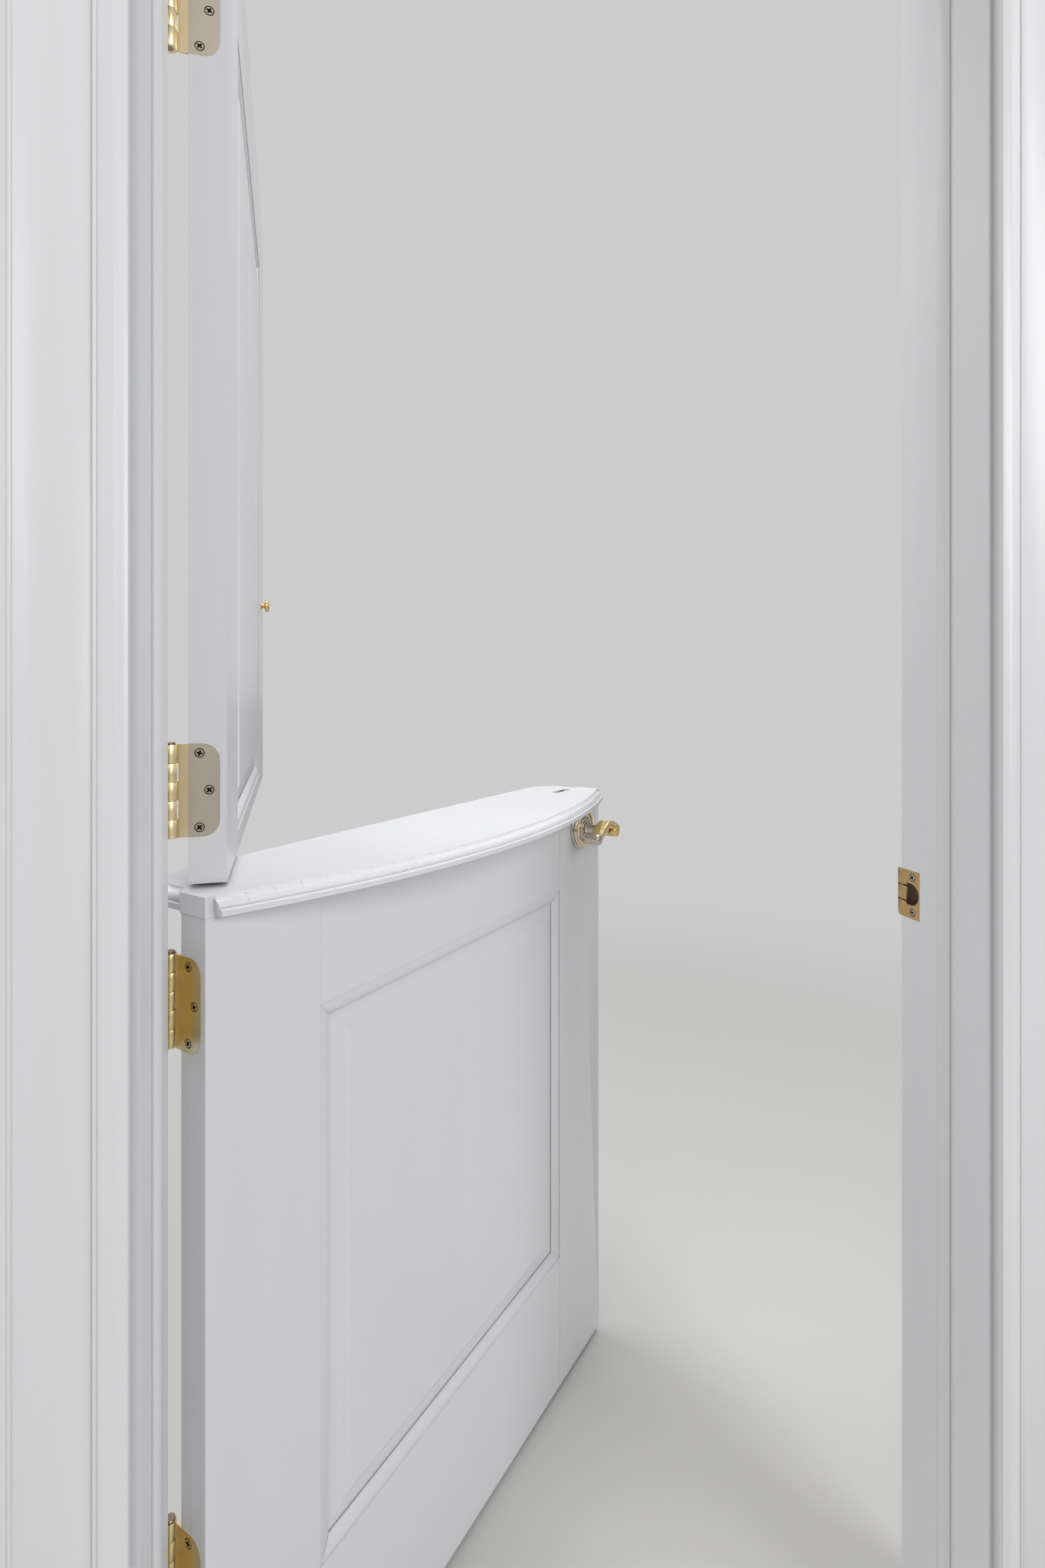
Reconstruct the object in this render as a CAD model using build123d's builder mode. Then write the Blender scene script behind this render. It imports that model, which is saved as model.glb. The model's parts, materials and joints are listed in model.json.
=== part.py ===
# Dutch stable door with its jamb set
# Sizes are in millimetres and angles in degrees. +Z is up, and the origin is the centre of the
# hinge jamb's foot. +X runs from the hinge jamb to the strike jamb, +Y from the hall to the room.
# Each leaf's pieces are drawn with the leaf shut, then swung open about the hinge pins.
import math
import os
from itertools import pairwise

from build123d import *

# Leaves
LEAF_W = 813.0
LEAF_T = 35.0
DOOR_H = 2032.0  # both leaves together, with the shelf and the meeting gap
LOWER_H = 958.4  # the lower leaf with its shelf
MEETING_GAP = 3.6
STILE_W = 142.0
LOCK_RAIL_W = 131.0
BOTTOM_RAIL_W = 208.6
MEETING_RAIL_W = 22.0
TOP_RAIL_W = 142.0
LOWER_ANGLE = 42.6  # how far each leaf stands open
UPPER_ANGLE = 90.0

# Moulded edge of stiles and rails
STICK_W = 17.5
STICK_DROP = 6.5
QUIRK = 1.5
QUIRK_FLAT = 2.0
GROOVE_W = 19.0
GROOVE_D = 27.5

# Raised panels
TONGUE_FIT = 0.2  # each side, between tongue and groove
PANEL_PLAY = 2.0  # room for the panel to swell at each groove bottom
BEVEL_END = 39.0  # from the edge of the panel opening
BEVEL_DROP = 4.5
STEP_END = 45.0
FIELD_DROP = 1.0

# Gaps round the leaves
HINGE_GAP = 2.0
STRIKE_GAP = 5.0
FLOOR_GAP = 10.0
HEAD_GAP = 3.0

# Jambs, stops and casings
JAMB_T = 19.0
JAMB_D = 124.0
HOUSING = 6.0  # depth of the head's housings in the jamb legs
STOP_T = 7.0
STOP_W = 38.0
STOP_FLAT = 25.0
STOP_TOE = 1.5
STOP_HOLLOW = 1.4
STOP_CLEAR = 1.5  # between a shut leaf and the stops
CASING_W = 89.0
CASING_LIP = 13.0  # thickness at the inner edge
CASING_SHOULDER = 15.0  # thickness beside the inner bead
CASING_OGEE_W = 10.0
CASING_INNER_BEAD = 20.5  # from the inner edge
CASING_COVE_START = 14.0  # thickness where the cove starts
CASING_COVE_END = 17.0
CASING_OUTER_BEAD = 76.0
CASING_BACK_BAND = 17.5
CASING_COVE_DIP = 3.2
BEAD_W = 3.6
BEAD_RISE = 1.5
HALL_REVEAL = 6.5
ROOM_REVEAL = 12.5

# Hinges
HINGE_SIZE = 88.9
HINGE_CORNER = 16.0
HINGE_PLATE_T = 2.2
HINGE_SEAT = 28.5  # how far a plate lies on the wood
PIN_OFFSET = 16.0  # pin centre in front of the room face
BARREL_R = 6.2
PIN_R = 3.4
PIN_FIT = 0.05
PIN_HEAD_R = 5.0
PIN_HEAD_T = 2.0
PIN_HEAD_BEVEL = 0.7
KNUCKLES = 5
KNUCKLE_GAP = 0.2
PLATE_CLEAR = 1.3  # between a plate and the other plate's knuckles
PLATE_FIT = 0.1  # round a plate let into wood
HINGE_SCREW_END = 8.9  # from the plate's ends
HINGE_SCREW_OUTER = 18.3  # end screws, from the plate's free edge
HINGE_SCREW_MID = 9.6  # middle screw, from the plate's free edge
LOWER_HINGE_RISE = 318.5  # from each leaf's foot up to the middle of its bottom hinge
UPPER_HINGE_RISE = 89.5
LOWER_HINGE_DROP = 85.9  # from each leaf's top down to the middle of its top hinge
UPPER_HINGE_DROP = 233.5

# Screws
SCREW_HEAD_R = 4.2
SCREW_HEAD_T = 1.7
SCREW_SHANK_R = 2.0
SCREW_LENGTH = 16.0
SCREW_POINT = 4.0
SMALL_HEAD_R = 2.7
SMALL_HEAD_T = 1.3
SMALL_SHANK_R = 1.2
SMALL_LENGTH = 10.0
SMALL_POINT = 2.5
SCREW_FIT = 0.1

# Shelf
SHELF_T = 18.0
SHELF_LIP = 1.0  # how far the shelf stands out from the wood under it
SHELF_BOW = 73.0
SHELF_BOW_START = 8.4  # from the leaf's edges, so that the bow passes between the stops
SHELF_ROOM_REACH = 77.0
SHELF_ROOM_INSET = 12.0
SHELF_CORNER_R = 50.0
SHELF_FLARE = 11.5
SHELF_TOP_COVE = (1.5, 3.0, 3.3, 4.2)  # middle and end of the cove, out and down
SHELF_ROUND = (7.2, 8.0, 8.0, 11.7)  # middle and end of the round, out and down
SHELF_FOOT = (10.2, 1.3)  # start of the foot's rounded edge, and its radius

# Dutch bolt and its keeper
BOLT_INSET = 60.5  # from the free edge
BOLT_E = 7.5  # in front of the room face
BAR_W = 16.0
BAR_T = 5.0
BAR_LENGTH = 104.0
BAR_RISE = 1.0  # bar's foot above the leaf's foot
BAR_BEVEL = 1.0
BAR_FIT = 0.25
BOLT_THROW = 12.0
BACK_PLATE_W = 34.0
BACK_PLATE_T = 2.5
BACK_PLATE_CORNER = 4.0
GUIDE_H = 12.0
GUIDE_WALL = 3.0
GUIDE_CORNER = 1.0
GUIDE_INSET = 10.0  # from the ends of the back plate
BOLT_KNOB_R = 5.0
BOLT_KNOB_NECK_R = 3.0
BOLT_KNOB_REACH = 13.0
BOLT_SCREW_INSET = 4.6
KEEPER_W = 46.0
KEEPER_D = 13.0
KEEPER_T = 1.6
KEEPER_SLOT_W = 19.0
KEEPER_SLOT_D = 6.0
KEEPER_DEPTH = 14.0
KEEPER_SCREW_X = 17.5

# Pull knob
KNOB_INSET = 71.0  # from the free edge
KNOB_RISE = 328.0  # above the upper leaf's foot
KNOB_R = 11.5
KNOB_REACH = 15.4
KNOB_FOOT_R = 7.0
KNOB_FOOT_T = 1.6
KNOB_NECK_R = 4.6
KNOB_NECK_E = 6.0
KNOB_RIM_E = 10.5
KNOB_STUD_DEPTH = 10.0
KNOB_STUD_CLEAR = 1.0
KNOB_STUD_R = 2.0
KNOB_SCREW_HEAD_R = 4.5
KNOB_SCREW_HEAD_T = 2.2
KNOB_SCREW_ROUND = 1.1

# Latch
BACKSET = 70.0
LATCH_DROP = 40.4  # below the top of the lower leaf's wood
CASE_R = 12.5
CASE_PAST_HUB = 14.0
CASE_WALL = 2.0
HUB_R = 8.0
HUB_FIT = 0.05
SPINDLE_W = 8.0
SPINDLE_FIT = 0.05
BOLT_HEAD_T = 12.0
BOLT_HEAD_H = 19.5
BOLT_HEAD_FIT = 0.2
LATCH_THROW = 10.0
LATCH_REACH = 11.0
BOLT_NOSE_T = 2.5
BOLT_NOSE_START = 1.5
HUB_LENGTH = 22.0
LATCH_TAIL_CLEAR = 1.0
FACE_PLATE_W = 25.0
FACE_PLATE_H = 57.0
FACE_PLATE_T = 2.5
FACE_PLATE_CORNER = 4.0
FACE_PLATE_SCREWS = 41.3
SPINDLE_BORE_R = 12.5

# Roses and levers
ROSE_R = 32.0
ROSE_BASE_T = 5.0
ROSE_EDGE_R = 1.5
ROSE_STEP_R = 29.5
ROSE_STEP_E = 8.0
ROPE_RING_R = 26.5
ROPE_R = 2.1
ROSE_DISH_E = 6.4
ROSE_BOSS_R = 12.5
ROSE_BOSS_E = 12.0
LEVER_COLLAR_R = 8.0
LEVER_COLLAR_E = 1.0
LEVER_TURN_GAP = 0.3
NECK_R = 9.5
NECK_WAIST_R = 7.6
NECK_END_E = 47.0
BAND_START_E = 42.0
BAND_W = 20.0
BAND_T = 12.0
LEVER_CURVE = (
    (29.0, -7.0),
    (19.0, 3.0),
    (5.0, 9.0),
    (-16.0, 6.5),
    (-38.0, -1.5),
    (-60.0, -7.5),
    (-76.0, -3.5),
)
LEVER_TIP_R = 8.5
LEVER_TIP = (-78.0, 1.0)
LEVER_TAIL_R = 7.5
SPINDLE_END_E = 36.0

# Strike
STRIKE_H = 57.0
STRIKE_SEAT = 28.5
STRIKE_T = 1.8
STRIKE_LIP = 11.0
STRIKE_LIP_TURN = 38.0
STRIKE_HOLE_START = 7.8  # from the jamb's room edge
STRIKE_HOLE_W = 19.4
STRIKE_HOLE_H = 26.0
STRIKE_LIP_CORNER = 8.0
STRIKE_SLIT = 0.8
STRIKE_SLIT_END = 2.5  # left whole at the lip's edge
STRIKE_TONGUE_W = 18.0
STRIKE_SCREW_EDGE = 17.0  # from the jamb's room edge
STRIKE_SCREW_SPACING = 41.3

# Places that follow from the sizes
JAMB_FACE = JAMB_T / 2
HINGE_EDGE = JAMB_FACE + HINGE_GAP
FREE_EDGE = HINGE_EDGE + LEAF_W
STRIKE_FACE = FREE_EDGE + STRIKE_GAP
CENTRE_X = (JAMB_FACE + STRIKE_FACE) / 2
LEAF_CENTRE_X = (HINGE_EDGE + FREE_EDGE) / 2
ROOM_FACE = JAMB_D / 2
HALL_FACE = ROOM_FACE - LEAF_T
MID_FACE = ROOM_FACE - LEAF_T / 2
PIN_X = JAMB_FACE + HINGE_GAP / 2
PIN_Y = ROOM_FACE + PIN_OFFSET
LOWER_WOOD_TOP = FLOOR_GAP + LOWER_H - SHELF_T
SHELF_TOP = FLOOR_GAP + LOWER_H
UPPER_FOOT = SHELF_TOP + MEETING_GAP
UPPER_TOP = FLOOR_GAP + DOOR_H
HEAD_Z = UPPER_TOP + HEAD_GAP
GROOVE_END = STILE_W + STICK_W - GROOVE_D  # from a stile's outer edge
LATCH_X = FREE_EDGE - BACKSET
LATCH_Z = LOWER_WOOD_TOP - LATCH_DROP
BOLT_X = FREE_EDGE - BOLT_INSET
LOWER_HINGES = (FLOOR_GAP + LOWER_HINGE_RISE, LOWER_WOOD_TOP - LOWER_HINGE_DROP)
UPPER_HINGES = (UPPER_FOOT + UPPER_HINGE_RISE, UPPER_TOP - UPPER_HINGE_DROP)
PLATE_W = HINGE_SEAT + PIN_OFFSET

CENTRE_PLANE = Plane(origin=(CENTRE_X, 0, 0), z_dir=(1, 0, 0))
LEAF_CENTRE_PLANE = Plane(origin=(LEAF_CENTRE_X, 0, 0), z_dir=(1, 0, 0))
LEAF_MID_PLANE = Plane(origin=(0, MID_FACE, 0), z_dir=(0, 1, 0))

SHUT = Location()
TO_PIN = Location((PIN_X, PIN_Y, 0))
LOWER_OPEN = TO_PIN * Location((0, 0, 0), (0, 0, LOWER_ANGLE)) * TO_PIN.inverse()
UPPER_OPEN = TO_PIN * Location((0, 0, 0), (0, 0, UPPER_ANGLE)) * TO_PIN.inverse()

os.makedirs("parts", exist_ok=True)


def write(piece, name, place=SHUT):
    """Set a finished piece where it rests, label it and write its file."""
    piece.part = piece.part.moved(place)
    piece.part.label = name
    export_step(piece.part, f"parts/{name}.step")


# Screws
def countersunk_screw(head_r, head_t, shank_r, length, point):
    """A countersunk screw with its head's face at the origin, pointing down."""
    with BuildPart() as screw:
        with BuildSketch(Plane.XZ):
            with BuildLine():
                Polyline(
                    (0, 0),
                    (head_r, 0),
                    (shank_r, -head_t),
                    (shank_r, point - length),
                    (0, -length),
                    close=True,
                )
            make_face()
        revolve(axis=Axis.Z)
    return screw


WOOD_SCREW = countersunk_screw(SCREW_HEAD_R, SCREW_HEAD_T, SCREW_SHANK_R, SCREW_LENGTH, SCREW_POINT)
SMALL_SCREW = countersunk_screw(SMALL_HEAD_R, SMALL_HEAD_T, SMALL_SHANK_R, SMALL_LENGTH, SMALL_POINT)


def pilot_holes(seats, shank_r=SCREW_SHANK_R, length=SCREW_LENGTH):
    """Plain holes for screws in the wood that is being built."""
    with Locations(*seats):
        Cylinder(
            shank_r + SCREW_FIT,
            length + SCREW_FIT,
            align=(Align.CENTER, Align.CENTER, Align.MAX),
            mode=Mode.SUBTRACT,
        )


def countersinks(seats, head_r=SCREW_HEAD_R, head_t=SCREW_HEAD_T, shank_r=SCREW_SHANK_R):
    """Countersunk holes for screws in the plate that is being built."""
    pilot_holes(seats, shank_r)
    with Locations(*seats):
        Cone(
            shank_r + SCREW_FIT,
            head_r + SCREW_FIT,
            head_t,
            align=(Align.CENTER, Align.CENTER, Align.MAX),
            mode=Mode.SUBTRACT,
        )


def screw_set(seats, screw=WOOD_SCREW):
    """Like screws, each with its head at one of the seats."""
    with BuildPart() as screws:
        with Locations(*seats):
            add(screw.part)
    return screws


def hinge_screw_seats(face_x, outward, heights):
    """Seats of the three screws in each hinge plate on one face, for hinges at these heights."""
    free_edge = ROOM_FACE - HINGE_SEAT
    end_z = HINGE_SIZE / 2 - HINGE_SCREW_END
    return [
        Plane(origin=(face_x, free_edge + from_edge, height + z), z_dir=(outward, 0, 0))
        for height in heights
        for from_edge, z in ((HINGE_SCREW_OUTER, end_z), (HINGE_SCREW_MID, 0), (HINGE_SCREW_OUTER, -end_z))
    ]


# Hinges
def hinge_plate_outline(face_x, outward, height, reach, grow=0.0):
    """The flat plate on one face: square to the pin, with round corners at its free edge."""
    plane = Plane(origin=(face_x, PIN_Y, height), x_dir=(0, -1, 0), z_dir=(outward, 0, 0))
    with BuildSketch(plane) as outline:
        with Locations(((PLATE_W + reach) / 2, 0)):
            Rectangle(PLATE_W - reach + 2 * grow, HINGE_SIZE + 2 * grow)
        fillet(outline.vertices().group_by(Axis.X)[-1], HINGE_CORNER)
    return outline


def hinge_plate(face_x, outward, height, knuckles):
    """One plate of a hinge, with the knuckles that are rolled from it."""
    pitch = HINGE_SIZE / KNUCKLES
    rows = [height + HINGE_SIZE / 2 - (n + 0.5) * pitch for n in knuckles]
    strap = BARREL_R + PLATE_CLEAR
    outline = hinge_plate_outline(face_x, outward, height, strap)
    with BuildPart() as plate:
        extrude(outline.sketch, amount=-HINGE_PLATE_T)
        for row in rows:
            with Locations((face_x - outward * HINGE_PLATE_T / 2, PIN_Y - strap / 2, row)):
                Box(HINGE_PLATE_T, strap, pitch - KNUCKLE_GAP)
            with Locations((PIN_X, PIN_Y, row)):
                Cylinder(BARREL_R, pitch - KNUCKLE_GAP)
        with Locations((PIN_X, PIN_Y, height)):
            Cylinder(PIN_R + PIN_FIT, HINGE_SIZE, mode=Mode.SUBTRACT)
        countersinks(hinge_screw_seats(face_x, outward, (height,)))
    return plate


def hinge_pin(height):
    """A loose pin with a flat button head that stands on the top knuckle."""
    top = height + HINGE_SIZE / 2
    with BuildPart() as pin:
        with Locations((PIN_X, PIN_Y, height)):
            Cylinder(PIN_R, HINGE_SIZE)
        with Locations((PIN_X, PIN_Y, top)):
            Cylinder(PIN_HEAD_R, PIN_HEAD_T, align=(Align.CENTER, Align.CENTER, Align.MIN))
        chamfer(pin.faces().sort_by(Axis.Z)[-1].edges(), PIN_HEAD_BEVEL)
    return pin


def cut_hinge_seats(face_x, outward, heights):
    """Let hinge plates and their screws into the wood that is being built."""
    for height in heights:
        extrude(
            hinge_plate_outline(face_x, outward, height, PIN_OFFSET, PLATE_FIT).sketch,
            amount=-HINGE_PLATE_T,
            mode=Mode.SUBTRACT,
        )
    pilot_holes(hinge_screw_seats(face_x, outward, heights))


# Jambs
def strike_outline(grow=0.0):
    """The flat of the strike plate on the strike jamb's face."""
    plane = Plane(origin=(STRIKE_FACE, ROOM_FACE, LATCH_Z), x_dir=(0, -1, 0), z_dir=(-1, 0, 0))
    with BuildSketch(plane) as outline:
        with Locations((STRIKE_SEAT / 2, 0)):
            Rectangle(STRIKE_SEAT + 2 * grow, STRIKE_H + 2 * grow)
    return outline


def strike_hole(depth, grow=0.0):
    """The D-shaped latch hole, with its straight side to the room."""
    plane = Plane(origin=(STRIKE_FACE, ROOM_FACE, LATCH_Z), x_dir=(0, -1, 0), z_dir=(1, 0, 0))
    arc_r = STRIKE_HOLE_H / 2
    straight = STRIKE_HOLE_W - arc_r
    with BuildPart() as hole:
        with BuildSketch(plane):
            with Locations((STRIKE_HOLE_START + straight / 2, 0)):
                Rectangle(straight + 2 * grow, STRIKE_HOLE_H + 2 * grow)
            with Locations((STRIKE_HOLE_START + straight, 0)):
                Circle(arc_r + grow)
        extrude(amount=depth)
        straight_side = plane.from_local_coords((STRIKE_HOLE_START - grow, 0, 0))
        split(bisect_by=Plane(origin=straight_side, z_dir=(0, -1, 0)))
    return hole


def strike_screw_seats():
    """Seats of the strike plate's two screws."""
    y = ROOM_FACE - STRIKE_SCREW_EDGE
    half = STRIKE_SCREW_SPACING / 2
    return [Plane(origin=(STRIKE_FACE, y, LATCH_Z + z), z_dir=(-1, 0, 0)) for z in (-half, half)]


def jamb_leg(inner_x):
    """A jamb leg with a housing for the head; inner_x is its face in the doorway."""
    back_x = inner_x + (JAMB_T if inner_x > CENTRE_X else -JAMB_T)
    housing_x = inner_x + (HOUSING if inner_x > CENTRE_X else -HOUSING)
    with BuildPart() as leg:
        with Locations(((inner_x + back_x) / 2, 0, 0)):
            Box(JAMB_T, JAMB_D, HEAD_Z + JAMB_T, align=(Align.CENTER, Align.CENTER, Align.MIN))
        with Locations(((inner_x + housing_x) / 2, 0, HEAD_Z)):
            Box(
                HOUSING,
                JAMB_D,
                JAMB_T,
                align=(Align.CENTER, Align.CENTER, Align.MIN),
                mode=Mode.SUBTRACT,
            )
    return leg


with BuildPart() as hinge_jamb:
    add(jamb_leg(JAMB_FACE).part)
    cut_hinge_seats(JAMB_FACE, 1, LOWER_HINGES + UPPER_HINGES)
write(hinge_jamb, "hinge_jamb")

with BuildPart() as strike_jamb:
    add(jamb_leg(STRIKE_FACE).part)
    extrude(strike_outline(PLATE_FIT).sketch, amount=-STRIKE_T, mode=Mode.SUBTRACT)
    add(strike_hole(JAMB_T, PLATE_FIT).part, mode=Mode.SUBTRACT)
    pilot_holes(strike_screw_seats())
write(strike_jamb, "strike_jamb")

with BuildPart() as head_jamb:
    with Locations((CENTRE_X, 0, HEAD_Z)):
        Box(
            STRIKE_FACE - JAMB_FACE + 2 * HOUSING,
            JAMB_D,
            JAMB_T,
            align=(Align.CENTER, Align.CENTER, Align.MIN),
        )
write(head_jamb, "head_jamb")


# Stops
def stop(start, along, inward, length):
    """A door stop: square where the leaf shuts on it, with a hollow slope to the hall."""
    with BuildPart() as strip:
        with BuildSketch(Plane(origin=start, x_dir=inward, z_dir=along)):
            with BuildLine():
                Polyline((0, 0), (STOP_T, 0), (STOP_T, -STOP_FLAT))
                SagittaArc((STOP_T, -STOP_FLAT), (STOP_TOE, -STOP_W), STOP_HOLLOW)
                Polyline((STOP_TOE, -STOP_W), (0, -STOP_W), (0, 0))
            make_face()
        extrude(amount=length)
    return strip


STOP_BACK_Y = HALL_FACE - STOP_CLEAR
STOP_MITRE = Plane(origin=(JAMB_FACE, 0, HEAD_Z), z_dir=(1, 0, 1))
FAR_STOP_MITRE = Plane(origin=(STRIKE_FACE, 0, HEAD_Z), z_dir=(-1, 0, 1))

with BuildPart() as hinge_stop:
    add(stop((JAMB_FACE, STOP_BACK_Y, 0), (0, 0, 1), (1, 0, 0), HEAD_Z).part)
    split(bisect_by=STOP_MITRE, keep=Keep.BOTTOM)

with BuildPart() as strike_stop:
    mirror(hinge_stop.part, about=CENTRE_PLANE)

with BuildPart() as head_stop:
    add(stop((JAMB_FACE, STOP_BACK_Y, HEAD_Z), (1, 0, 0), (0, 0, -1), STRIKE_FACE - JAMB_FACE).part)
    split(bisect_by=STOP_MITRE, keep=Keep.TOP)
    split(bisect_by=FAR_STOP_MITRE, keep=Keep.TOP)

write(hinge_stop, "hinge_stop")
write(strike_stop, "strike_stop")
write(head_stop, "head_stop")


# Casings
def hall_casing(start, along, outward, length):
    """A moulded casing on the hall side, from its lip at the reveal out to its back band."""
    inner_bead_end = CASING_INNER_BEAD + BEAD_W
    outer_bead_end = CASING_OUTER_BEAD + BEAD_W
    cove_middle = (inner_bead_end + CASING_OUTER_BEAD) / 2
    with BuildPart() as strip:
        with BuildSketch(Plane(origin=start, x_dir=outward, z_dir=along)):
            with BuildLine():
                Line((0, 0), (0, CASING_LIP))
                Spline(
                    (0, CASING_LIP),
                    (CASING_OGEE_W, CASING_SHOULDER),
                    tangents=((1, 0), (1, 0)),
                )
                Line((CASING_OGEE_W, CASING_SHOULDER), (CASING_INNER_BEAD, CASING_SHOULDER))
                ThreePointArc(
                    (CASING_INNER_BEAD, CASING_SHOULDER),
                    (CASING_INNER_BEAD + BEAD_W / 2, CASING_SHOULDER + BEAD_RISE),
                    (inner_bead_end, CASING_COVE_START),
                )
                ThreePointArc(
                    (inner_bead_end, CASING_COVE_START),
                    (cove_middle, (CASING_COVE_START + CASING_COVE_END) / 2 - CASING_COVE_DIP),
                    (CASING_OUTER_BEAD, CASING_COVE_END),
                )
                ThreePointArc(
                    (CASING_OUTER_BEAD, CASING_COVE_END),
                    (CASING_OUTER_BEAD + BEAD_W / 2, CASING_COVE_END + BEAD_RISE),
                    (outer_bead_end, CASING_BACK_BAND),
                )
                Polyline(
                    (outer_bead_end, CASING_BACK_BAND),
                    (CASING_W, CASING_BACK_BAND),
                    (CASING_W, 0),
                    (0, 0),
                )
            make_face()
        extrude(amount=length)
    return strip


def casing_set(reveal):
    """The hall's two legs and head, mitred together round the doorway at one reveal."""
    x = JAMB_FACE - reveal
    y = -JAMB_D / 2
    z = HEAD_Z + reveal
    far_x = STRIKE_FACE + reveal
    mitre = Plane(origin=(x, 0, z), z_dir=(1, 0, 1))
    far_mitre = Plane(origin=(far_x, 0, z), z_dir=(-1, 0, 1))
    with BuildPart() as hinge_leg:
        add(hall_casing((x, y, 0), (0, 0, 1), (-1, 0, 0), z + CASING_W).part)
        split(bisect_by=mitre, keep=Keep.BOTTOM)
    with BuildPart() as strike_leg:
        mirror(hinge_leg.part, about=CENTRE_PLANE)
    with BuildPart() as head:
        add(hall_casing((x - CASING_W, y, z), (1, 0, 0), (0, 0, 1), far_x - x + 2 * CASING_W).part)
        split(bisect_by=mitre, keep=Keep.TOP)
        split(bisect_by=far_mitre, keep=Keep.TOP)
    return {"hinge": hinge_leg, "strike": strike_leg, "head": head}


for place, casing in casing_set(HALL_REVEAL).items():
    write(casing, f"hall_{place}_casing")

for place, casing in casing_set(ROOM_REVEAL).items():
    with BuildPart() as room_casing:
        mirror(casing.part, about=Plane.XZ)
    write(room_casing, f"room_{place}_casing")


# Hinges and their screws
for name, heights, place, jamb_rows in (
    ("lower", LOWER_HINGES, LOWER_OPEN, range(0, KNUCKLES, 2)),
    ("upper", UPPER_HINGES, UPPER_OPEN, range(1, KNUCKLES, 2)),
):
    leaf_rows = [n for n in range(KNUCKLES) if n not in jamb_rows]
    for rank, height in zip(("bottom", "top"), heights):
        write(hinge_plate(JAMB_FACE, 1, height, jamb_rows), f"{name}_{rank}_hinge_jamb_plate")
        write(hinge_plate(HINGE_EDGE, -1, height, leaf_rows), f"{name}_{rank}_hinge_leaf_plate", place)
        write(hinge_pin(height), f"{name}_{rank}_hinge_pin")
    leaf_screws = screw_set(hinge_screw_seats(HINGE_EDGE, -1, heights))
    write(leaf_screws, f"{name}_leaf_hinge_screws", place)

write(screw_set(hinge_screw_seats(JAMB_FACE, 1, LOWER_HINGES + UPPER_HINGES)), "jamb_hinge_screws")


# Strike plate
with BuildPart() as strike_plate:
    extrude(strike_outline().sketch, amount=-STRIKE_T)
    lip_r = STRIKE_LIP / math.radians(STRIKE_LIP_TURN)
    with BuildSketch(Plane.XY.offset(LATCH_Z - STRIKE_H / 2)):
        with BuildLine():
            inner = CenterArc((STRIKE_FACE + lip_r, ROOM_FACE), lip_r, 180, -STRIKE_LIP_TURN)
            outer = CenterArc((STRIKE_FACE + lip_r, ROOM_FACE), lip_r - STRIKE_T, 180, -STRIKE_LIP_TURN)
            Line(inner @ 0, outer @ 0)
            Line(inner @ 1, outer @ 1)
        make_face()
    extrude(amount=STRIKE_H)
    towards_room = Plane(origin=(STRIKE_FACE, ROOM_FACE, LATCH_Z), x_dir=(0, 1, 0), z_dir=(1, 0, 0))
    with BuildSketch(towards_room) as blank:
        with Locations(((STRIKE_LIP - STRIKE_SEAT) / 2, 0)):
            Rectangle(STRIKE_SEAT + STRIKE_LIP, STRIKE_H)
        fillet(blank.vertices().group_by(Axis.X)[-1], STRIKE_LIP_CORNER)
    extrude(amount=lip_r, mode=Mode.INTERSECT)
    add(strike_hole(STRIKE_T).part, mode=Mode.SUBTRACT)
    slit_start = ROOM_FACE - STRIKE_HOLE_START
    for side in (-1, 1):
        with Locations((STRIKE_FACE, slit_start, LATCH_Z + side * STRIKE_TONGUE_W / 2)):
            Box(
                2 * lip_r,
                STRIKE_HOLE_START + STRIKE_LIP - STRIKE_SLIT_END,
                STRIKE_SLIT,
                align=(Align.CENTER, Align.MIN, Align.CENTER),
                mode=Mode.SUBTRACT,
            )
    countersinks(strike_screw_seats())
write(strike_plate, "strike_plate")
write(screw_set(strike_screw_seats()), "strike_screws")


# Stiles, rails and panels
def framing(plane, width, length):
    """A stile or rail: a board with a moulded and grooved inner edge, both faces alike."""
    face = LEAF_T / 2
    lip_edge = width + STICK_W
    with BuildPart() as board:
        with BuildSketch(plane):
            with BuildLine():
                Polyline(
                    (0, 0),
                    (0, face),
                    (width, face),
                    (width, face - QUIRK),
                    (width + QUIRK_FLAT, face - QUIRK),
                )
                TangentArc(
                    (width + QUIRK_FLAT, face - QUIRK),
                    (lip_edge, face - STICK_DROP),
                    tangent=(1, 0),
                )
                Polyline(
                    (lip_edge, face - STICK_DROP),
                    (lip_edge, GROOVE_W / 2),
                    (lip_edge - GROOVE_D, GROOVE_W / 2),
                    (lip_edge - GROOVE_D, 0),
                )
                mirror(about=Plane.XZ)
            make_face()
        extrude(amount=length)
    return board


def raised_panel(foot, top):
    """A panel raised on both faces, with a tongue that floats in the grooves round it."""
    width = LEAF_W - 2 * STILE_W
    height = top - foot
    tongue = GROOVE_W / 2 - TONGUE_FIT
    reach = GROOVE_D - STICK_W - PANEL_PLAY
    middle = Plane(origin=(LEAF_CENTRE_X, MID_FACE, (foot + top) / 2), x_dir=(1, 0, 0), z_dir=(0, -1, 0))
    steps = (
        (STICK_W, tongue),
        (BEVEL_END, LEAF_T / 2 - BEVEL_DROP),
        (STEP_END, LEAF_T / 2 - FIELD_DROP),
    )
    with BuildPart() as panel:
        with BuildSketch(middle):
            Rectangle(width + 2 * reach, height + 2 * reach)
        extrude(amount=tongue)
        for lower, upper in pairwise(steps):
            for inset, rise in (lower, upper):
                with BuildSketch(middle.offset(rise)):
                    Rectangle(width - 2 * inset, height - 2 * inset)
            loft()
        mirror(about=middle)
    return panel


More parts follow.
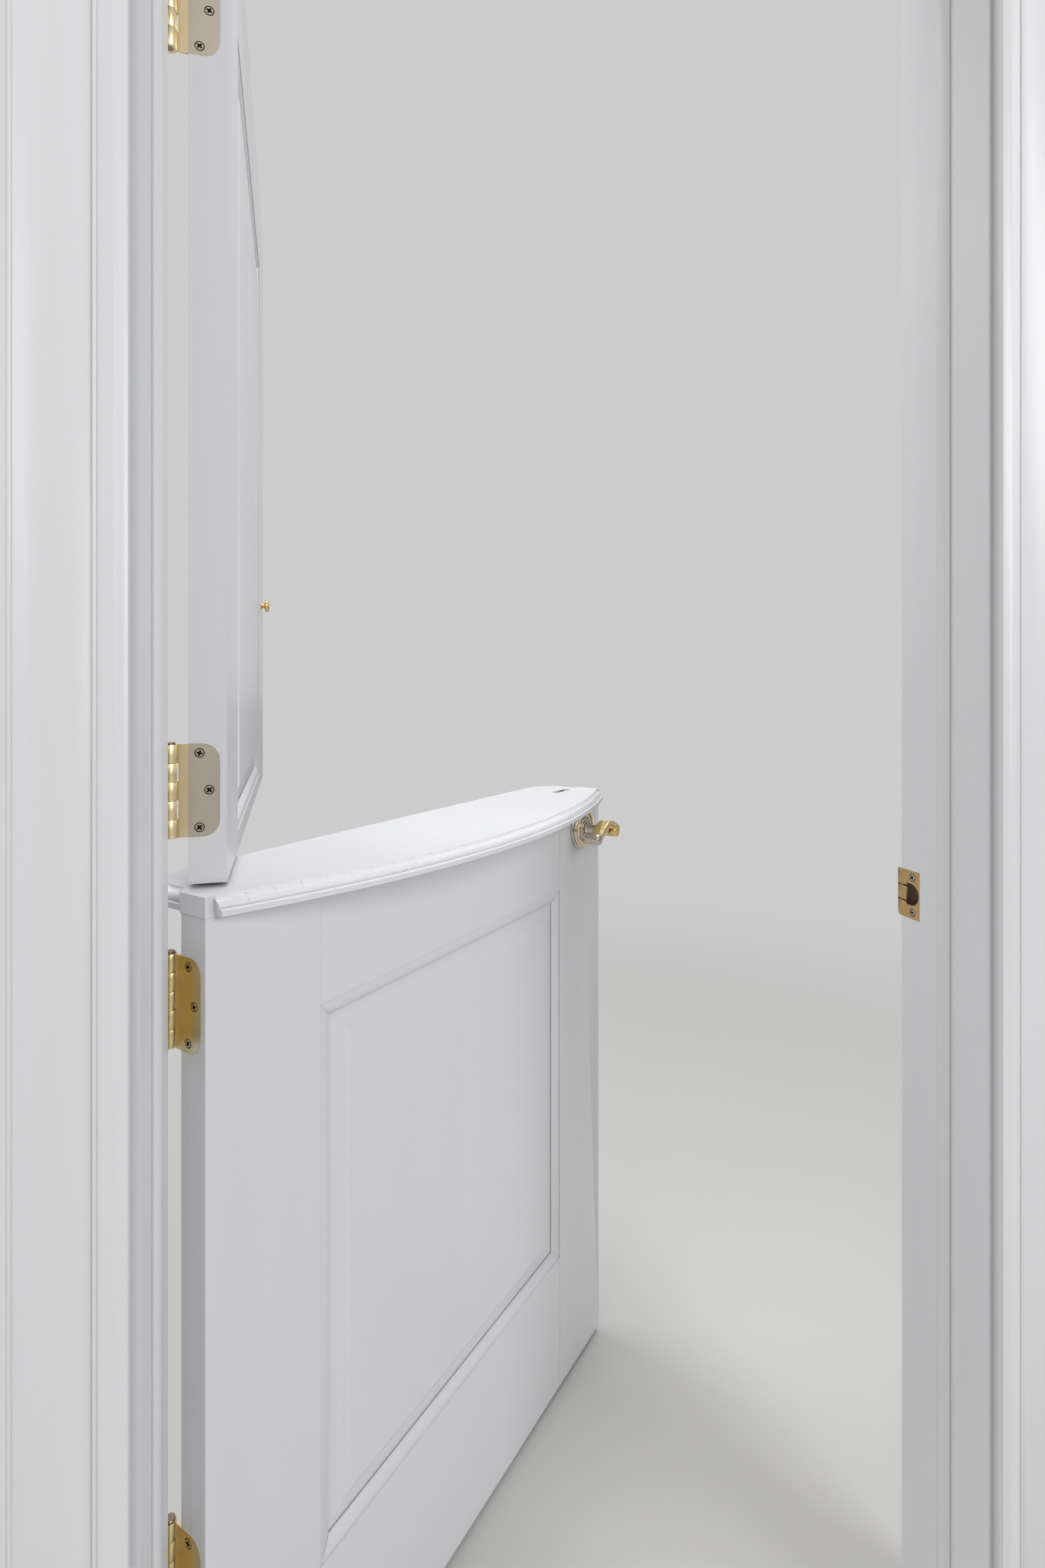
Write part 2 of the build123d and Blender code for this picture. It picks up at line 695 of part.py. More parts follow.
def stiles(foot, top):
    """The hinge stile and the lock stile of one leaf."""
    plane = Plane(origin=(HINGE_EDGE, MID_FACE, foot), x_dir=(1, 0, 0), z_dir=(0, 0, 1))
    hinge_stile = framing(plane, STILE_W, top - foot)
    with BuildPart() as lock_stile:
        mirror(hinge_stile.part, about=LEAF_CENTRE_PLANE)
    return hinge_stile, lock_stile


def rail(outer_z, up, width, hinge_stile, lock_stile):
    """A rail coped over the stiles' moulding, with tenons that fill their grooves."""
    start = (HINGE_EDGE + GROOVE_END, MID_FACE, outer_z)
    board = framing(Plane(origin=start, x_dir=(0, 0, up), z_dir=(1, 0, 0)), width, LEAF_W - 2 * GROOVE_END)
    with BuildPart() as coped:
        add(board.part)
        add(hinge_stile.part, mode=Mode.SUBTRACT)
        add(lock_stile.part, mode=Mode.SUBTRACT)
    return coped


# Lower leaf
lower_hinge_blank, lower_lock_blank = stiles(FLOOR_GAP, LOWER_WOOD_TOP)
lower_bottom_rail = rail(FLOOR_GAP, 1, BOTTOM_RAIL_W, lower_hinge_blank, lower_lock_blank)
lock_rail = rail(LOWER_WOOD_TOP, -1, LOCK_RAIL_W, lower_hinge_blank, lower_lock_blank)
lower_panel = raised_panel(FLOOR_GAP + BOTTOM_RAIL_W, LOWER_WOOD_TOP - LOCK_RAIL_W)

FACE_PLATE_PLANE = Plane(origin=(FREE_EDGE, MID_FACE, LATCH_Z), x_dir=(0, 1, 0), z_dir=(1, 0, 0))
ACROSS_LEAF = Plane(origin=(LATCH_X, ROOM_FACE, LATCH_Z), x_dir=(1, 0, 0), z_dir=(0, -1, 0))
CASE_LENGTH = BACKSET + CASE_PAST_HUB - FACE_PLATE_T
FACE_PLATE_SEATS = [FACE_PLATE_PLANE * Location((0, side * FACE_PLATE_SCREWS / 2, 0)) for side in (-1, 1)]


def face_plate_outline(grow=0.0):
    """The latch's face plate on the leaf's free edge."""
    with BuildSketch(FACE_PLATE_PLANE) as outline:
        RectangleRounded(FACE_PLATE_W + 2 * grow, FACE_PLATE_H + 2 * grow, FACE_PLATE_CORNER)
    return outline


with BuildPart() as lower_hinge_stile:
    add(lower_hinge_blank.part)
    cut_hinge_seats(HINGE_EDGE, -1, LOWER_HINGES)

with BuildPart() as lower_lock_stile:
    add(lower_lock_blank.part)
    extrude(face_plate_outline(PLATE_FIT).sketch, amount=-FACE_PLATE_T, mode=Mode.SUBTRACT)
    with BuildSketch(FACE_PLATE_PLANE):
        Circle(CASE_R + PLATE_FIT)
    extrude(amount=-(BACKSET + CASE_PAST_HUB), mode=Mode.SUBTRACT)
    with BuildSketch(ACROSS_LEAF):
        Circle(SPINDLE_BORE_R)
    extrude(amount=LEAF_T, mode=Mode.SUBTRACT)
    pilot_holes(FACE_PLATE_SEATS, SMALL_SHANK_R, SMALL_LENGTH)

write(lower_hinge_stile, "lower_hinge_stile", LOWER_OPEN)
write(lower_lock_stile, "lower_lock_stile", LOWER_OPEN)
write(lower_bottom_rail, "lower_bottom_rail", LOWER_OPEN)
write(lock_rail, "lock_rail", LOWER_OPEN)
write(lower_panel, "lower_panel", LOWER_OPEN)


# Shelf
def moulding_profile(plane, back):
    """The shelf's edge in section, out from its top arris, with a square back."""
    cove_mid_out, cove_mid_down, cove_out, cove_down = SHELF_TOP_COVE
    round_mid_out, round_mid_down, round_out, round_down = SHELF_ROUND
    foot_out, foot_r = SHELF_FOOT
    with BuildSketch(plane) as profile:
        with BuildLine():
            Line((-back, 0), (0, 0))
            ThreePointArc((0, 0), (cove_mid_out, -cove_mid_down), (cove_out, -cove_down))
            ThreePointArc((cove_out, -cove_down), (round_mid_out, -round_mid_down), (round_out, -round_down))
            Line((round_out, -round_down), (foot_out, -round_down))
            RadiusArc((foot_out, -round_down), (SHELF_FLARE, -round_down - foot_r), foot_r)
            Polyline(
                (SHELF_FLARE, -round_down - foot_r),
                (SHELF_FLARE, -SHELF_T),
                (-back, -SHELF_T),
                (-back, 0),
            )
        make_face()
    return profile


BOW_CHORD = LEAF_W - 2 * SHELF_BOW_START
BOW_R = (BOW_CHORD**2 / 4 + SHELF_BOW**2) / (2 * SHELF_BOW)
BOW_CENTRE_Y = HALL_FACE - SHELF_BOW + BOW_R
KEEPER_PLANE = Plane(
    origin=(BOLT_X, ROOM_FACE + BOLT_E, SHELF_TOP),
    x_dir=(1, 0, 0),
    z_dir=(0, 0, 1),
)
KEEPER_SEATS = [KEEPER_PLANE * Location((side * KEEPER_SCREW_X, 0, 0)) for side in (-1, 1)]

# The half towards the hall: a bow whose moulding turns about the bow's own centre
with BuildPart() as hall_shelf:
    bow_centre = Plane(origin=(LEAF_CENTRE_X, BOW_CENTRE_Y, SHELF_TOP), x_dir=(0, -1, 0), z_dir=(1, 0, 0))
    bow_edge = Plane(origin=bow_centre.from_local_coords((BOW_R, 0, 0)), x_dir=(0, -1, 0), z_dir=(-1, 0, 0))
    revolve(moulding_profile(bow_edge, BOW_R).sketch, axis=Axis(bow_centre.origin, (0, 0, 1)))
    with Locations((LEAF_CENTRE_X, MID_FACE, SHELF_TOP)):
        Box(
            BOW_CHORD,
            SHELF_BOW + SHELF_FLARE + LEAF_T / 2,
            SHELF_T,
            align=(Align.CENTER, Align.MAX, Align.MAX),
            mode=Mode.INTERSECT,
        )

# The half towards the room: a straight front with round corners and splayed ends
with BuildPart() as room_shelf:
    room_start = HINGE_EDGE + SHELF_ROOM_INSET
    room_front = ROOM_FACE + SHELF_ROOM_REACH
    corner = (room_start + SHELF_CORNER_R, room_front - SHELF_CORNER_R, SHELF_TOP)
    side_edge = Plane(origin=(room_start, corner[1], SHELF_TOP), x_dir=(-1, 0, 0), z_dir=(0, 1, 0))
    front_edge = Plane(origin=(corner[0], room_front, SHELF_TOP), x_dir=(0, 1, 0), z_dir=(1, 0, 0))
    side_profile = moulding_profile(side_edge, SHELF_CORNER_R)
    front_profile = moulding_profile(front_edge, SHELF_CORNER_R)
    extrude(side_profile.sketch, amount=ROOM_FACE - corner[1])
    revolve(front_profile.sketch, axis=Axis(corner, (0, 0, 1)), revolution_arc=90)
    extrude(front_profile.sketch, amount=LEAF_CENTRE_X - corner[0])
    with BuildSketch(Plane.XY.offset(SHELF_TOP - SHELF_T)):
        with BuildLine():
            Polyline(
                (HINGE_EDGE - SHELF_LIP, HALL_FACE - SHELF_LIP),
                (HINGE_EDGE - SHELF_LIP, ROOM_FACE + SHELF_LIP),
                (room_start, ROOM_FACE + SHELF_ROOM_INSET),
                (corner[0] - SHELF_CORNER_R / 2, ROOM_FACE + SHELF_ROOM_INSET),
                (corner[0], corner[1] + SHELF_CORNER_R / 2),
                (LEAF_CENTRE_X, corner[1] + SHELF_CORNER_R / 2),
                (LEAF_CENTRE_X, HALL_FACE - SHELF_LIP),
                close=True,
            )
        make_face()
    extrude(amount=SHELF_T)
    mirror(about=LEAF_CENTRE_PLANE)

with BuildPart() as shelf:
    add(hall_shelf.part)
    add(room_shelf.part)
    with BuildSketch(KEEPER_PLANE):
        Rectangle(KEEPER_W + 2 * PLATE_FIT, KEEPER_D + 2 * PLATE_FIT)
    extrude(amount=-KEEPER_T, mode=Mode.SUBTRACT)
    with BuildSketch(KEEPER_PLANE):
        Rectangle(KEEPER_SLOT_W, KEEPER_SLOT_D)
    extrude(amount=-KEEPER_DEPTH, mode=Mode.SUBTRACT)
    pilot_holes(KEEPER_SEATS, SMALL_SHANK_R, SMALL_LENGTH)

# The keeper lets the bolt of the upper leaf into the shelf
with BuildPart() as bolt_keeper:
    with BuildSketch(KEEPER_PLANE):
        Rectangle(KEEPER_W, KEEPER_D)
        Rectangle(KEEPER_SLOT_W, KEEPER_SLOT_D, mode=Mode.SUBTRACT)
    extrude(amount=-KEEPER_T)
    countersinks(KEEPER_SEATS, SMALL_HEAD_R, SMALL_HEAD_T, SMALL_SHANK_R)

write(shelf, "shelf", LOWER_OPEN)
write(bolt_keeper, "bolt_keeper", LOWER_OPEN)
write(screw_set(KEEPER_SEATS, SMALL_SCREW), "bolt_keeper_screws", LOWER_OPEN)


# Upper leaf
upper_hinge_blank, upper_lock_blank = stiles(UPPER_FOOT, UPPER_TOP)
meeting_rail = rail(UPPER_FOOT, 1, MEETING_RAIL_W, upper_hinge_blank, upper_lock_blank)
top_rail = rail(UPPER_TOP, -1, TOP_RAIL_W, upper_hinge_blank, upper_lock_blank)
upper_panel = raised_panel(UPPER_FOOT + MEETING_RAIL_W, UPPER_TOP - TOP_RAIL_W)

BOLT_FOOT = UPPER_FOOT + BAR_RISE
BACK_PLATE_FOOT = BOLT_FOOT + BOLT_THROW
BACK_PLATE_H = BAR_LENGTH - 2 * BOLT_THROW
BOLT_PLANE = Plane(
    origin=(BOLT_X, ROOM_FACE, BACK_PLATE_FOOT + BACK_PLATE_H / 2),
    x_dir=(-1, 0, 0),
    z_dir=(0, 1, 0),
)
BOLT_SEATS = [
    BOLT_PLANE.offset(BACK_PLATE_T)
    * Location((side * (BACK_PLATE_W / 2 - BOLT_SCREW_INSET), end * (BACK_PLATE_H / 2 - BOLT_SCREW_INSET), 0))
    for side in (-1, 1)
    for end in (-1, 1)
]
KNOB_PLANE = Plane(
    origin=(FREE_EDGE - KNOB_INSET, HALL_FACE, UPPER_FOOT + KNOB_RISE),
    x_dir=(1, 0, 0),
    z_dir=(0, -1, 0),
)

with BuildPart() as upper_hinge_stile:
    add(upper_hinge_blank.part)
    cut_hinge_seats(HINGE_EDGE, -1, UPPER_HINGES)

with BuildPart() as upper_lock_stile:
    add(upper_lock_blank.part)
    with BuildSketch(KNOB_PLANE):
        Circle(KNOB_STUD_R + SCREW_FIT)
    extrude(amount=-LEAF_T, mode=Mode.SUBTRACT)
    pilot_holes(BOLT_SEATS, SMALL_SHANK_R, SMALL_LENGTH)

write(upper_hinge_stile, "upper_hinge_stile", UPPER_OPEN)
write(upper_lock_stile, "upper_lock_stile", UPPER_OPEN)
write(meeting_rail, "meeting_rail", UPPER_OPEN)
write(top_rail, "top_rail", UPPER_OPEN)
write(upper_panel, "upper_panel", UPPER_OPEN)

# Pull knob: a turned mushroom, held by a machine screw from the room side
with BuildPart() as pull_knob:
    with BuildSketch(Plane(origin=KNOB_PLANE.origin, x_dir=(1, 0, 0), z_dir=(0, 0, 1))):
        with BuildLine():
            Polyline((0, 0), (KNOB_FOOT_R, 0), (KNOB_FOOT_R, -KNOB_FOOT_T))
            Spline(
                (KNOB_FOOT_R, -KNOB_FOOT_T),
                (KNOB_NECK_R, -KNOB_NECK_E),
                (KNOB_R, -KNOB_RIM_E),
                tangents=((-1, 0), (0, -1)),
            )
            EllipticalCenterArc(
                (0, -KNOB_RIM_E),
                KNOB_R,
                KNOB_REACH - KNOB_RIM_E,
                start_angle=270,
                arc_size=90,
            )
            Line((0, -KNOB_REACH), (0, 0))
        make_face()
    revolve(axis=Axis(KNOB_PLANE.origin, (0, 1, 0)))
    with BuildSketch(KNOB_PLANE):
        Circle(KNOB_STUD_R + SCREW_FIT)
    extrude(amount=KNOB_STUD_DEPTH, mode=Mode.SUBTRACT)

with BuildPart() as knob_screw:
    with BuildSketch(KNOB_PLANE.offset(KNOB_STUD_DEPTH - KNOB_STUD_CLEAR)):
        Circle(KNOB_STUD_R)
    extrude(amount=KNOB_STUD_CLEAR - KNOB_STUD_DEPTH - LEAF_T)
    with BuildSketch(KNOB_PLANE.offset(-LEAF_T)):
        Circle(KNOB_SCREW_HEAD_R)
    extrude(amount=-KNOB_SCREW_HEAD_T)
    fillet(knob_screw.faces().sort_by(Axis.Y)[-1].edges(), KNOB_SCREW_ROUND)

write(pull_knob, "pull_knob", UPPER_OPEN)
write(knob_screw, "pull_knob_screw", UPPER_OPEN)

# Dutch bolt: a flat bar that slides through two guides on a back plate
with BuildPart() as bolt_plate:
    with BuildSketch(BOLT_PLANE):
        RectangleRounded(BACK_PLATE_W, BACK_PLATE_H, BACK_PLATE_CORNER)
    extrude(amount=BACK_PLATE_T)
    guide_y = BACK_PLATE_H / 2 - GUIDE_INSET - GUIDE_H / 2
    with BuildSketch(BOLT_PLANE):
        with Locations((0, guide_y), (0, -guide_y)):
            RectangleRounded(BAR_W + 2 * GUIDE_WALL, GUIDE_H, GUIDE_CORNER)
    extrude(amount=BOLT_E + BAR_T / 2 + GUIDE_WALL)
    with BuildSketch(Plane(origin=KEEPER_PLANE.origin, x_dir=(1, 0, 0), z_dir=(0, 0, 1))):
        Rectangle(BAR_W + 2 * BAR_FIT, BAR_T + 2 * BAR_FIT)
    extrude(amount=BAR_LENGTH + SHELF_TOP, mode=Mode.SUBTRACT)
    countersinks(BOLT_SEATS, SMALL_HEAD_R, SMALL_HEAD_T, SMALL_SHANK_R)

with BuildPart() as bolt_bar:
    with BuildSketch(Plane(origin=(BOLT_X, ROOM_FACE + BOLT_E, BOLT_FOOT), z_dir=(0, 0, 1))):
        Rectangle(BAR_W, BAR_T)
    extrude(amount=BAR_LENGTH)
    chamfer(bolt_bar.faces().sort_by(Axis.Z)[0].edges(), BAR_BEVEL)
    knob_plane = BOLT_PLANE.offset(BOLT_E + BAR_T / 2)
    with BuildSketch(knob_plane):
        Circle(BOLT_KNOB_NECK_R)
    extrude(amount=BOLT_KNOB_REACH - BOLT_KNOB_R)
    with Locations(knob_plane.offset(BOLT_KNOB_REACH - BOLT_KNOB_R)):
        Sphere(BOLT_KNOB_R)

write(bolt_plate, "dutch_bolt_plate", UPPER_OPEN)
write(bolt_bar, "dutch_bolt_bar", UPPER_OPEN)
write(screw_set(BOLT_SEATS, SMALL_SCREW), "dutch_bolt_screws", UPPER_OPEN)


# Latch
with BuildPart() as latch_case:
    with BuildSketch(FACE_PLATE_PLANE.offset(-FACE_PLATE_T)):
        Circle(CASE_R)
        Rectangle(BOLT_HEAD_T + 2 * BOLT_HEAD_FIT, BOLT_HEAD_H + 2 * BOLT_HEAD_FIT, mode=Mode.SUBTRACT)
    extrude(amount=-CASE_LENGTH)
    with BuildSketch(FACE_PLATE_PLANE.offset(-FACE_PLATE_T - CASE_LENGTH)):
        Circle(CASE_R)
    extrude(amount=CASE_LENGTH - BACKSET + HUB_R + CASE_WALL)
    with BuildSketch(ACROSS_LEAF):
        Circle(HUB_R + HUB_FIT)
    extrude(amount=LEAF_T, mode=Mode.SUBTRACT)

with BuildPart() as face_plate:
    extrude(face_plate_outline().sketch, amount=-FACE_PLATE_T)
    with BuildSketch(FACE_PLATE_PLANE):
        Rectangle(BOLT_HEAD_T + 2 * BOLT_HEAD_FIT, BOLT_HEAD_H + 2 * BOLT_HEAD_FIT)
    extrude(amount=-FACE_PLATE_T, mode=Mode.SUBTRACT)
    countersinks(FACE_PLATE_SEATS, SMALL_HEAD_R, SMALL_HEAD_T, SMALL_SHANK_R)

# The latch bolt is bevelled on its hall side, which meets the strike first
with BuildPart() as latch_bolt:
    tail = BACKSET - HUB_R - CASE_WALL - LATCH_THROW - LATCH_TAIL_CLEAR
    with BuildSketch(Plane.XY.offset(LATCH_Z - BOLT_HEAD_H / 2)):
        with BuildLine():
            near = MID_FACE + BOLT_HEAD_T / 2
            far = MID_FACE - BOLT_HEAD_T / 2
            Polyline(
                (FREE_EDGE - tail, near),
                (FREE_EDGE + LATCH_REACH, near),
                (FREE_EDGE + LATCH_REACH, near - BOLT_NOSE_T),
                (FREE_EDGE + BOLT_NOSE_START, far),
                (FREE_EDGE - tail, far),
                close=True,
            )
        make_face()
    extrude(amount=BOLT_HEAD_H)

write(latch_case, "latch_case", LOWER_OPEN)
write(face_plate, "latch_face_plate", LOWER_OPEN)
write(screw_set(FACE_PLATE_SEATS, SMALL_SCREW), "latch_face_plate_screws", LOWER_OPEN)
write(latch_bolt, "latch_bolt", LOWER_OPEN)

with BuildPart() as latch_hub:
    with BuildSketch(ACROSS_LEAF.offset(LEAF_T / 2 - HUB_LENGTH / 2)):
        Circle(HUB_R)
        Rectangle(SPINDLE_W + 2 * SPINDLE_FIT, SPINDLE_W + 2 * SPINDLE_FIT, mode=Mode.SUBTRACT)
    extrude(amount=HUB_LENGTH)

with BuildPart() as spindle:
    with BuildSketch(ACROSS_LEAF.offset(-SPINDLE_END_E)):
        Rectangle(SPINDLE_W, SPINDLE_W)
    extrude(amount=LEAF_T + 2 * SPINDLE_END_E)

write(latch_hub, "latch_hub", LOWER_OPEN)
write(spindle, "spindle", LOWER_OPEN)

# Rose and lever on the hall side, drawn from the leaf's face outwards
HALL_HANDLE = Plane(origin=(LATCH_X, HALL_FACE, LATCH_Z), x_dir=(1, 0, 0), z_dir=(0, -1, 0))
HANDLE_SECTION = Plane(origin=HALL_HANDLE.origin, x_dir=(1, 0, 0), z_dir=(0, 0, 1))
HANDLE_AXIS = Axis(HALL_HANDLE.origin, (0, -1, 0))

with BuildPart() as hall_rose:
    bore_r = LEVER_COLLAR_R + HUB_FIT
    ring_inner = ROPE_RING_R - ROPE_R
    with BuildSketch(HANDLE_SECTION):
        with BuildLine():
            Polyline((bore_r, 0), (ROSE_R, 0), (ROSE_R, ROSE_EDGE_R - ROSE_BASE_T))
            RadiusArc(
                (ROSE_R, ROSE_EDGE_R - ROSE_BASE_T),
                (ROSE_R - ROSE_EDGE_R, -ROSE_BASE_T),
                -ROSE_EDGE_R,
            )
            Polyline(
                (ROSE_R - ROSE_EDGE_R, -ROSE_BASE_T),
                (ROSE_STEP_R, -ROSE_BASE_T),
                (ROSE_STEP_R, -ROSE_STEP_E),
                (ROPE_RING_R + ROPE_R, -ROSE_STEP_E),
            )
            ThreePointArc(
                (ROPE_RING_R + ROPE_R, -ROSE_STEP_E),
                (ROPE_RING_R, -ROSE_STEP_E - ROPE_R),
                (ring_inner, -ROSE_STEP_E),
            )
            ThreePointArc(
                (ring_inner, -ROSE_STEP_E),
                ((ring_inner + ROSE_BOSS_R) / 2, -ROSE_DISH_E),
                (ROSE_BOSS_R, -ROSE_STEP_E),
            )
            Polyline(
                (ROSE_BOSS_R, -ROSE_STEP_E),
                (ROSE_BOSS_R, -ROSE_BOSS_E),
                (bore_r, -ROSE_BOSS_E),
                (bore_r, 0),
            )
        make_face()
    revolve(axis=HANDLE_AXIS)

# The lever is a wavy band with rolled ends, carried on a waisted neck
with BuildPart() as hall_lever:
    turn_e = ROSE_BOSS_E + LEVER_TURN_GAP
    with BuildSketch(HANDLE_SECTION):
        with BuildLine():
            Polyline((0, -LEVER_COLLAR_E), (LEVER_COLLAR_R, -LEVER_COLLAR_E), (LEVER_COLLAR_R, -turn_e))
            Line((LEVER_COLLAR_R, -turn_e), (NECK_R, -turn_e))
            ThreePointArc(
                (NECK_R, -turn_e),
                (NECK_WAIST_R, -(turn_e + BAND_START_E) / 2),
                (NECK_R, -BAND_START_E),
            )
            Polyline((NECK_R, -BAND_START_E), (NECK_R, -NECK_END_E), (0, -NECK_END_E), (0, -LEVER_COLLAR_E))
        make_face()
    revolve(axis=HANDLE_AXIS)
    with BuildSketch(HALL_HANDLE.offset(BAND_START_E)) as band:
        with BuildLine():
            Spline(*LEVER_CURVE)
        trace(line_width=BAND_T)
        with Locations(LEVER_TIP):
            Circle(LEVER_TIP_R)
        with Locations(LEVER_CURVE[0]):
            Circle(LEVER_TAIL_R)
    extrude(amount=BAND_W)
    with BuildSketch(HALL_HANDLE):
        Rectangle(SPINDLE_W + 2 * SPINDLE_FIT, SPINDLE_W + 2 * SPINDLE_FIT)
    extrude(amount=SPINDLE_END_E + SPINDLE_FIT, mode=Mode.SUBTRACT)

with BuildPart() as room_rose:
    mirror(hall_rose.part, about=LEAF_MID_PLANE)

with BuildPart() as room_lever:
    mirror(hall_lever.part, about=LEAF_MID_PLANE)

write(hall_rose, "hall_rose", LOWER_OPEN)
write(room_rose, "room_rose", LOWER_OPEN)
write(hall_lever, "hall_lever", LOWER_OPEN)
write(room_lever, "room_lever", LOWER_OPEN)
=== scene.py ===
# %% [markdown]
# # A dutch stable door, dressed
# The door is two leaves in one moulded frame. The lower leaf carries a shelf and a lever latch,
# and stands a little open; the upper leaf is folded right back. All the joinery and hardware
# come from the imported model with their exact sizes. This notebook gives them their paint and
# metal finishes, softens their edges, and adds the fine pieces that are too small to be solids
# there: the crosses of the screws, the stepped roses with their twisted rope, the shaped
# levers, and the painted joint under the shelf.
# The model is loaded first, because every new piece takes its place from it.

import json
import math

import bmesh
import bpy
from mathutils import Matrix, Vector

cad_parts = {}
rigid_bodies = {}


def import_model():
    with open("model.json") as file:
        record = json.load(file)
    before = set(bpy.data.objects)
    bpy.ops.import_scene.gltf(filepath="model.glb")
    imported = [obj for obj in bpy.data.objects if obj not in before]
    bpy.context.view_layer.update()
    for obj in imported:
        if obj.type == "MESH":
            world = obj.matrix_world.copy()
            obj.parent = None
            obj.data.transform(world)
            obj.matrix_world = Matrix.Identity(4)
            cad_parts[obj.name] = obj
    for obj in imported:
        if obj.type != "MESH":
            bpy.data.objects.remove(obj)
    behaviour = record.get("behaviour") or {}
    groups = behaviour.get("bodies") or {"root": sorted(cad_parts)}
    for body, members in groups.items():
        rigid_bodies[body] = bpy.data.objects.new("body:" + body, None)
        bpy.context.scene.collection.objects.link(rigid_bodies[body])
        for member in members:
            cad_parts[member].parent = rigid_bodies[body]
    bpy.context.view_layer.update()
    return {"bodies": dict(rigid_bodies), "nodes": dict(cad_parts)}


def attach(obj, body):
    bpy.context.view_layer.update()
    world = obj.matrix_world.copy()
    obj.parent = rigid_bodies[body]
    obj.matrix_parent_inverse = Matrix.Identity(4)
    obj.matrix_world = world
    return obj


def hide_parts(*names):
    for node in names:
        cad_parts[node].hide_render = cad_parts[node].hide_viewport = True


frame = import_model()
nodes = frame["nodes"]
scene = bpy.context.scene

# %% [markdown]
# ## The camera
# The photograph was taken with a wide lens from the hall, just outside the frame, at the height
# of a person's chest. The camera looks level, so the jambs stay upright, and turns a little to
# the right of square. A level camera that is framed lower than its own height needs a vertical
# shift, as a view camera has, and not a tilt, which would make the jambs lean. The lens is in
# millimetres for a film 36 mm high, and the shift is a share of the picture's height.

# %% Camera
MM = 0.001
CAMERA_PLACE = (126.6 * MM, -734.6 * MM, 1172 * MM)
CAMERA_TURN = math.radians(15.86)
CAMERA_LENS = 18.205
CAMERA_SHIFT = -0.0698
NEAREST_SEEN = 20 * MM

camera_data = bpy.data.cameras.new("camera")
camera_data.lens = CAMERA_LENS
camera_data.shift_y = CAMERA_SHIFT
camera_data.clip_start = NEAREST_SEEN
camera = bpy.data.objects.new("camera", camera_data)
scene.collection.objects.link(camera)
camera.location = CAMERA_PLACE
camera.rotation_euler = (math.radians(90), 0, -CAMERA_TURN)
scene.camera = camera
scene.view_settings.view_transform = "Standard"
print("camera stands", round(-CAMERA_PLACE[1], 2), "m in front of the frame's middle")

# %% [markdown]
# ## Shader helpers
# Every finish here is a graph of nodes. A few small helpers keep the cells short: one adds a
# node and links what it is given, one starts a node group with named inputs and outputs, one
# places such a group in a material, and one does a sum. An effect that several finishes share
# lives in a group, so it is built once and tuned in each finish by its own values.


# %% Helpers for shader graphs
def fill(tree, socket, value):
    """Link a socket to another one, or set it to a plain value."""
    if isinstance(value, bpy.types.NodeSocket):
        tree.links.new(value, socket)
    else:
        socket.default_value = value


def shader_node(tree, kind, values=None, **settings):
    """A node of this kind. values sets or links its inputs, settings sets its own properties."""
    made = tree.nodes.new("ShaderNode" + kind)
    for name, value in settings.items():
        setattr(made, name, value)
    for name, value in (values or {}).items():
        fill(tree, made.inputs[name], value)
    return made


def start_group(name, inputs, outputs):
    """A node group with its sockets: inputs are (label, kind, value), outputs (label, kind)."""
    group = bpy.data.node_groups.new(name, "ShaderNodeTree")
    for label, kind, value in inputs:
        socket = group.interface.new_socket(label, in_out="INPUT", socket_type="NodeSocket" + kind)
        socket.default_value = value
    for label, kind in outputs:
        group.interface.new_socket(label, in_out="OUTPUT", socket_type="NodeSocket" + kind)
    entry = group.nodes.new("NodeGroupInput")
    leave = group.nodes.new("NodeGroupOutput")
    return group, entry.outputs, leave.inputs


def place_group(tree, group, values):
    """One use of a node group in a material."""
    return shader_node(tree, "Group", values, node_tree=group).outputs


def worked_out(tree, operation, first, second=0.0):
    """The result of one sum; ABSOLUTE takes only the first value."""
    return shader_node(tree, "Math", {0: first, 1: second}, operation=operation).outputs[0]


def places(tree):
    """Each point's own place in the model, in metres."""
    return shader_node(tree, "TexCoord").outputs["Object"]


# %% [markdown]
# ## Brush marks
# The woodwork is painted by hand. A brush leaves fine ridges that run along each board, and a
# slow change of tone where one stroke laps another. Both are noise that is stretched along the
# stroke: the part of each point's place that lies along the board is shrunk before the noise
# reads it. The group takes the direction of the stroke, so a stile and a rail share it.

# %% Group: brush marks
brush_marks, given, made = start_group(
    "brush marks",
    [
        ("Along", "Vector", (0, 0, 1)),
        ("Stretch", "Float", 0.03),
        ("Ridges", "Float", 520),
        ("Laps", "Float", 14),
    ],
    [("Height", "Float"), ("Tone", "Float")],
)
here = places(brush_marks)
dot = shader_node(brush_marks, "VectorMath", {0: here, 1: given["Along"]}, operation="DOT_PRODUCT")
shrink = worked_out(brush_marks, "SUBTRACT", 1.0, given["Stretch"])
cut = worked_out(brush_marks, "MULTIPLY", dot.outputs["Value"], shrink)
back = shader_node(brush_marks, "VectorMath", {0: given["Along"], 3: cut}, operation="SCALE")
stroke = shader_node(brush_marks, "VectorMath", {0: here, 1: back.outputs[0]}, operation="SUBTRACT")
for scale, detail, roughness, result in (("Ridges", 3.0, 0.6, "Height"), ("Laps", 2.0, 0.5, "Tone")):
    values = {"Vector": stroke.outputs[0], "Scale": given[scale], "Detail": detail, "Roughness": roughness}
    noise = shader_node(brush_marks, "TexNoise", values)
    brush_marks.links.new(noise.outputs[0], made[result])
print("group made:", brush_marks.name)
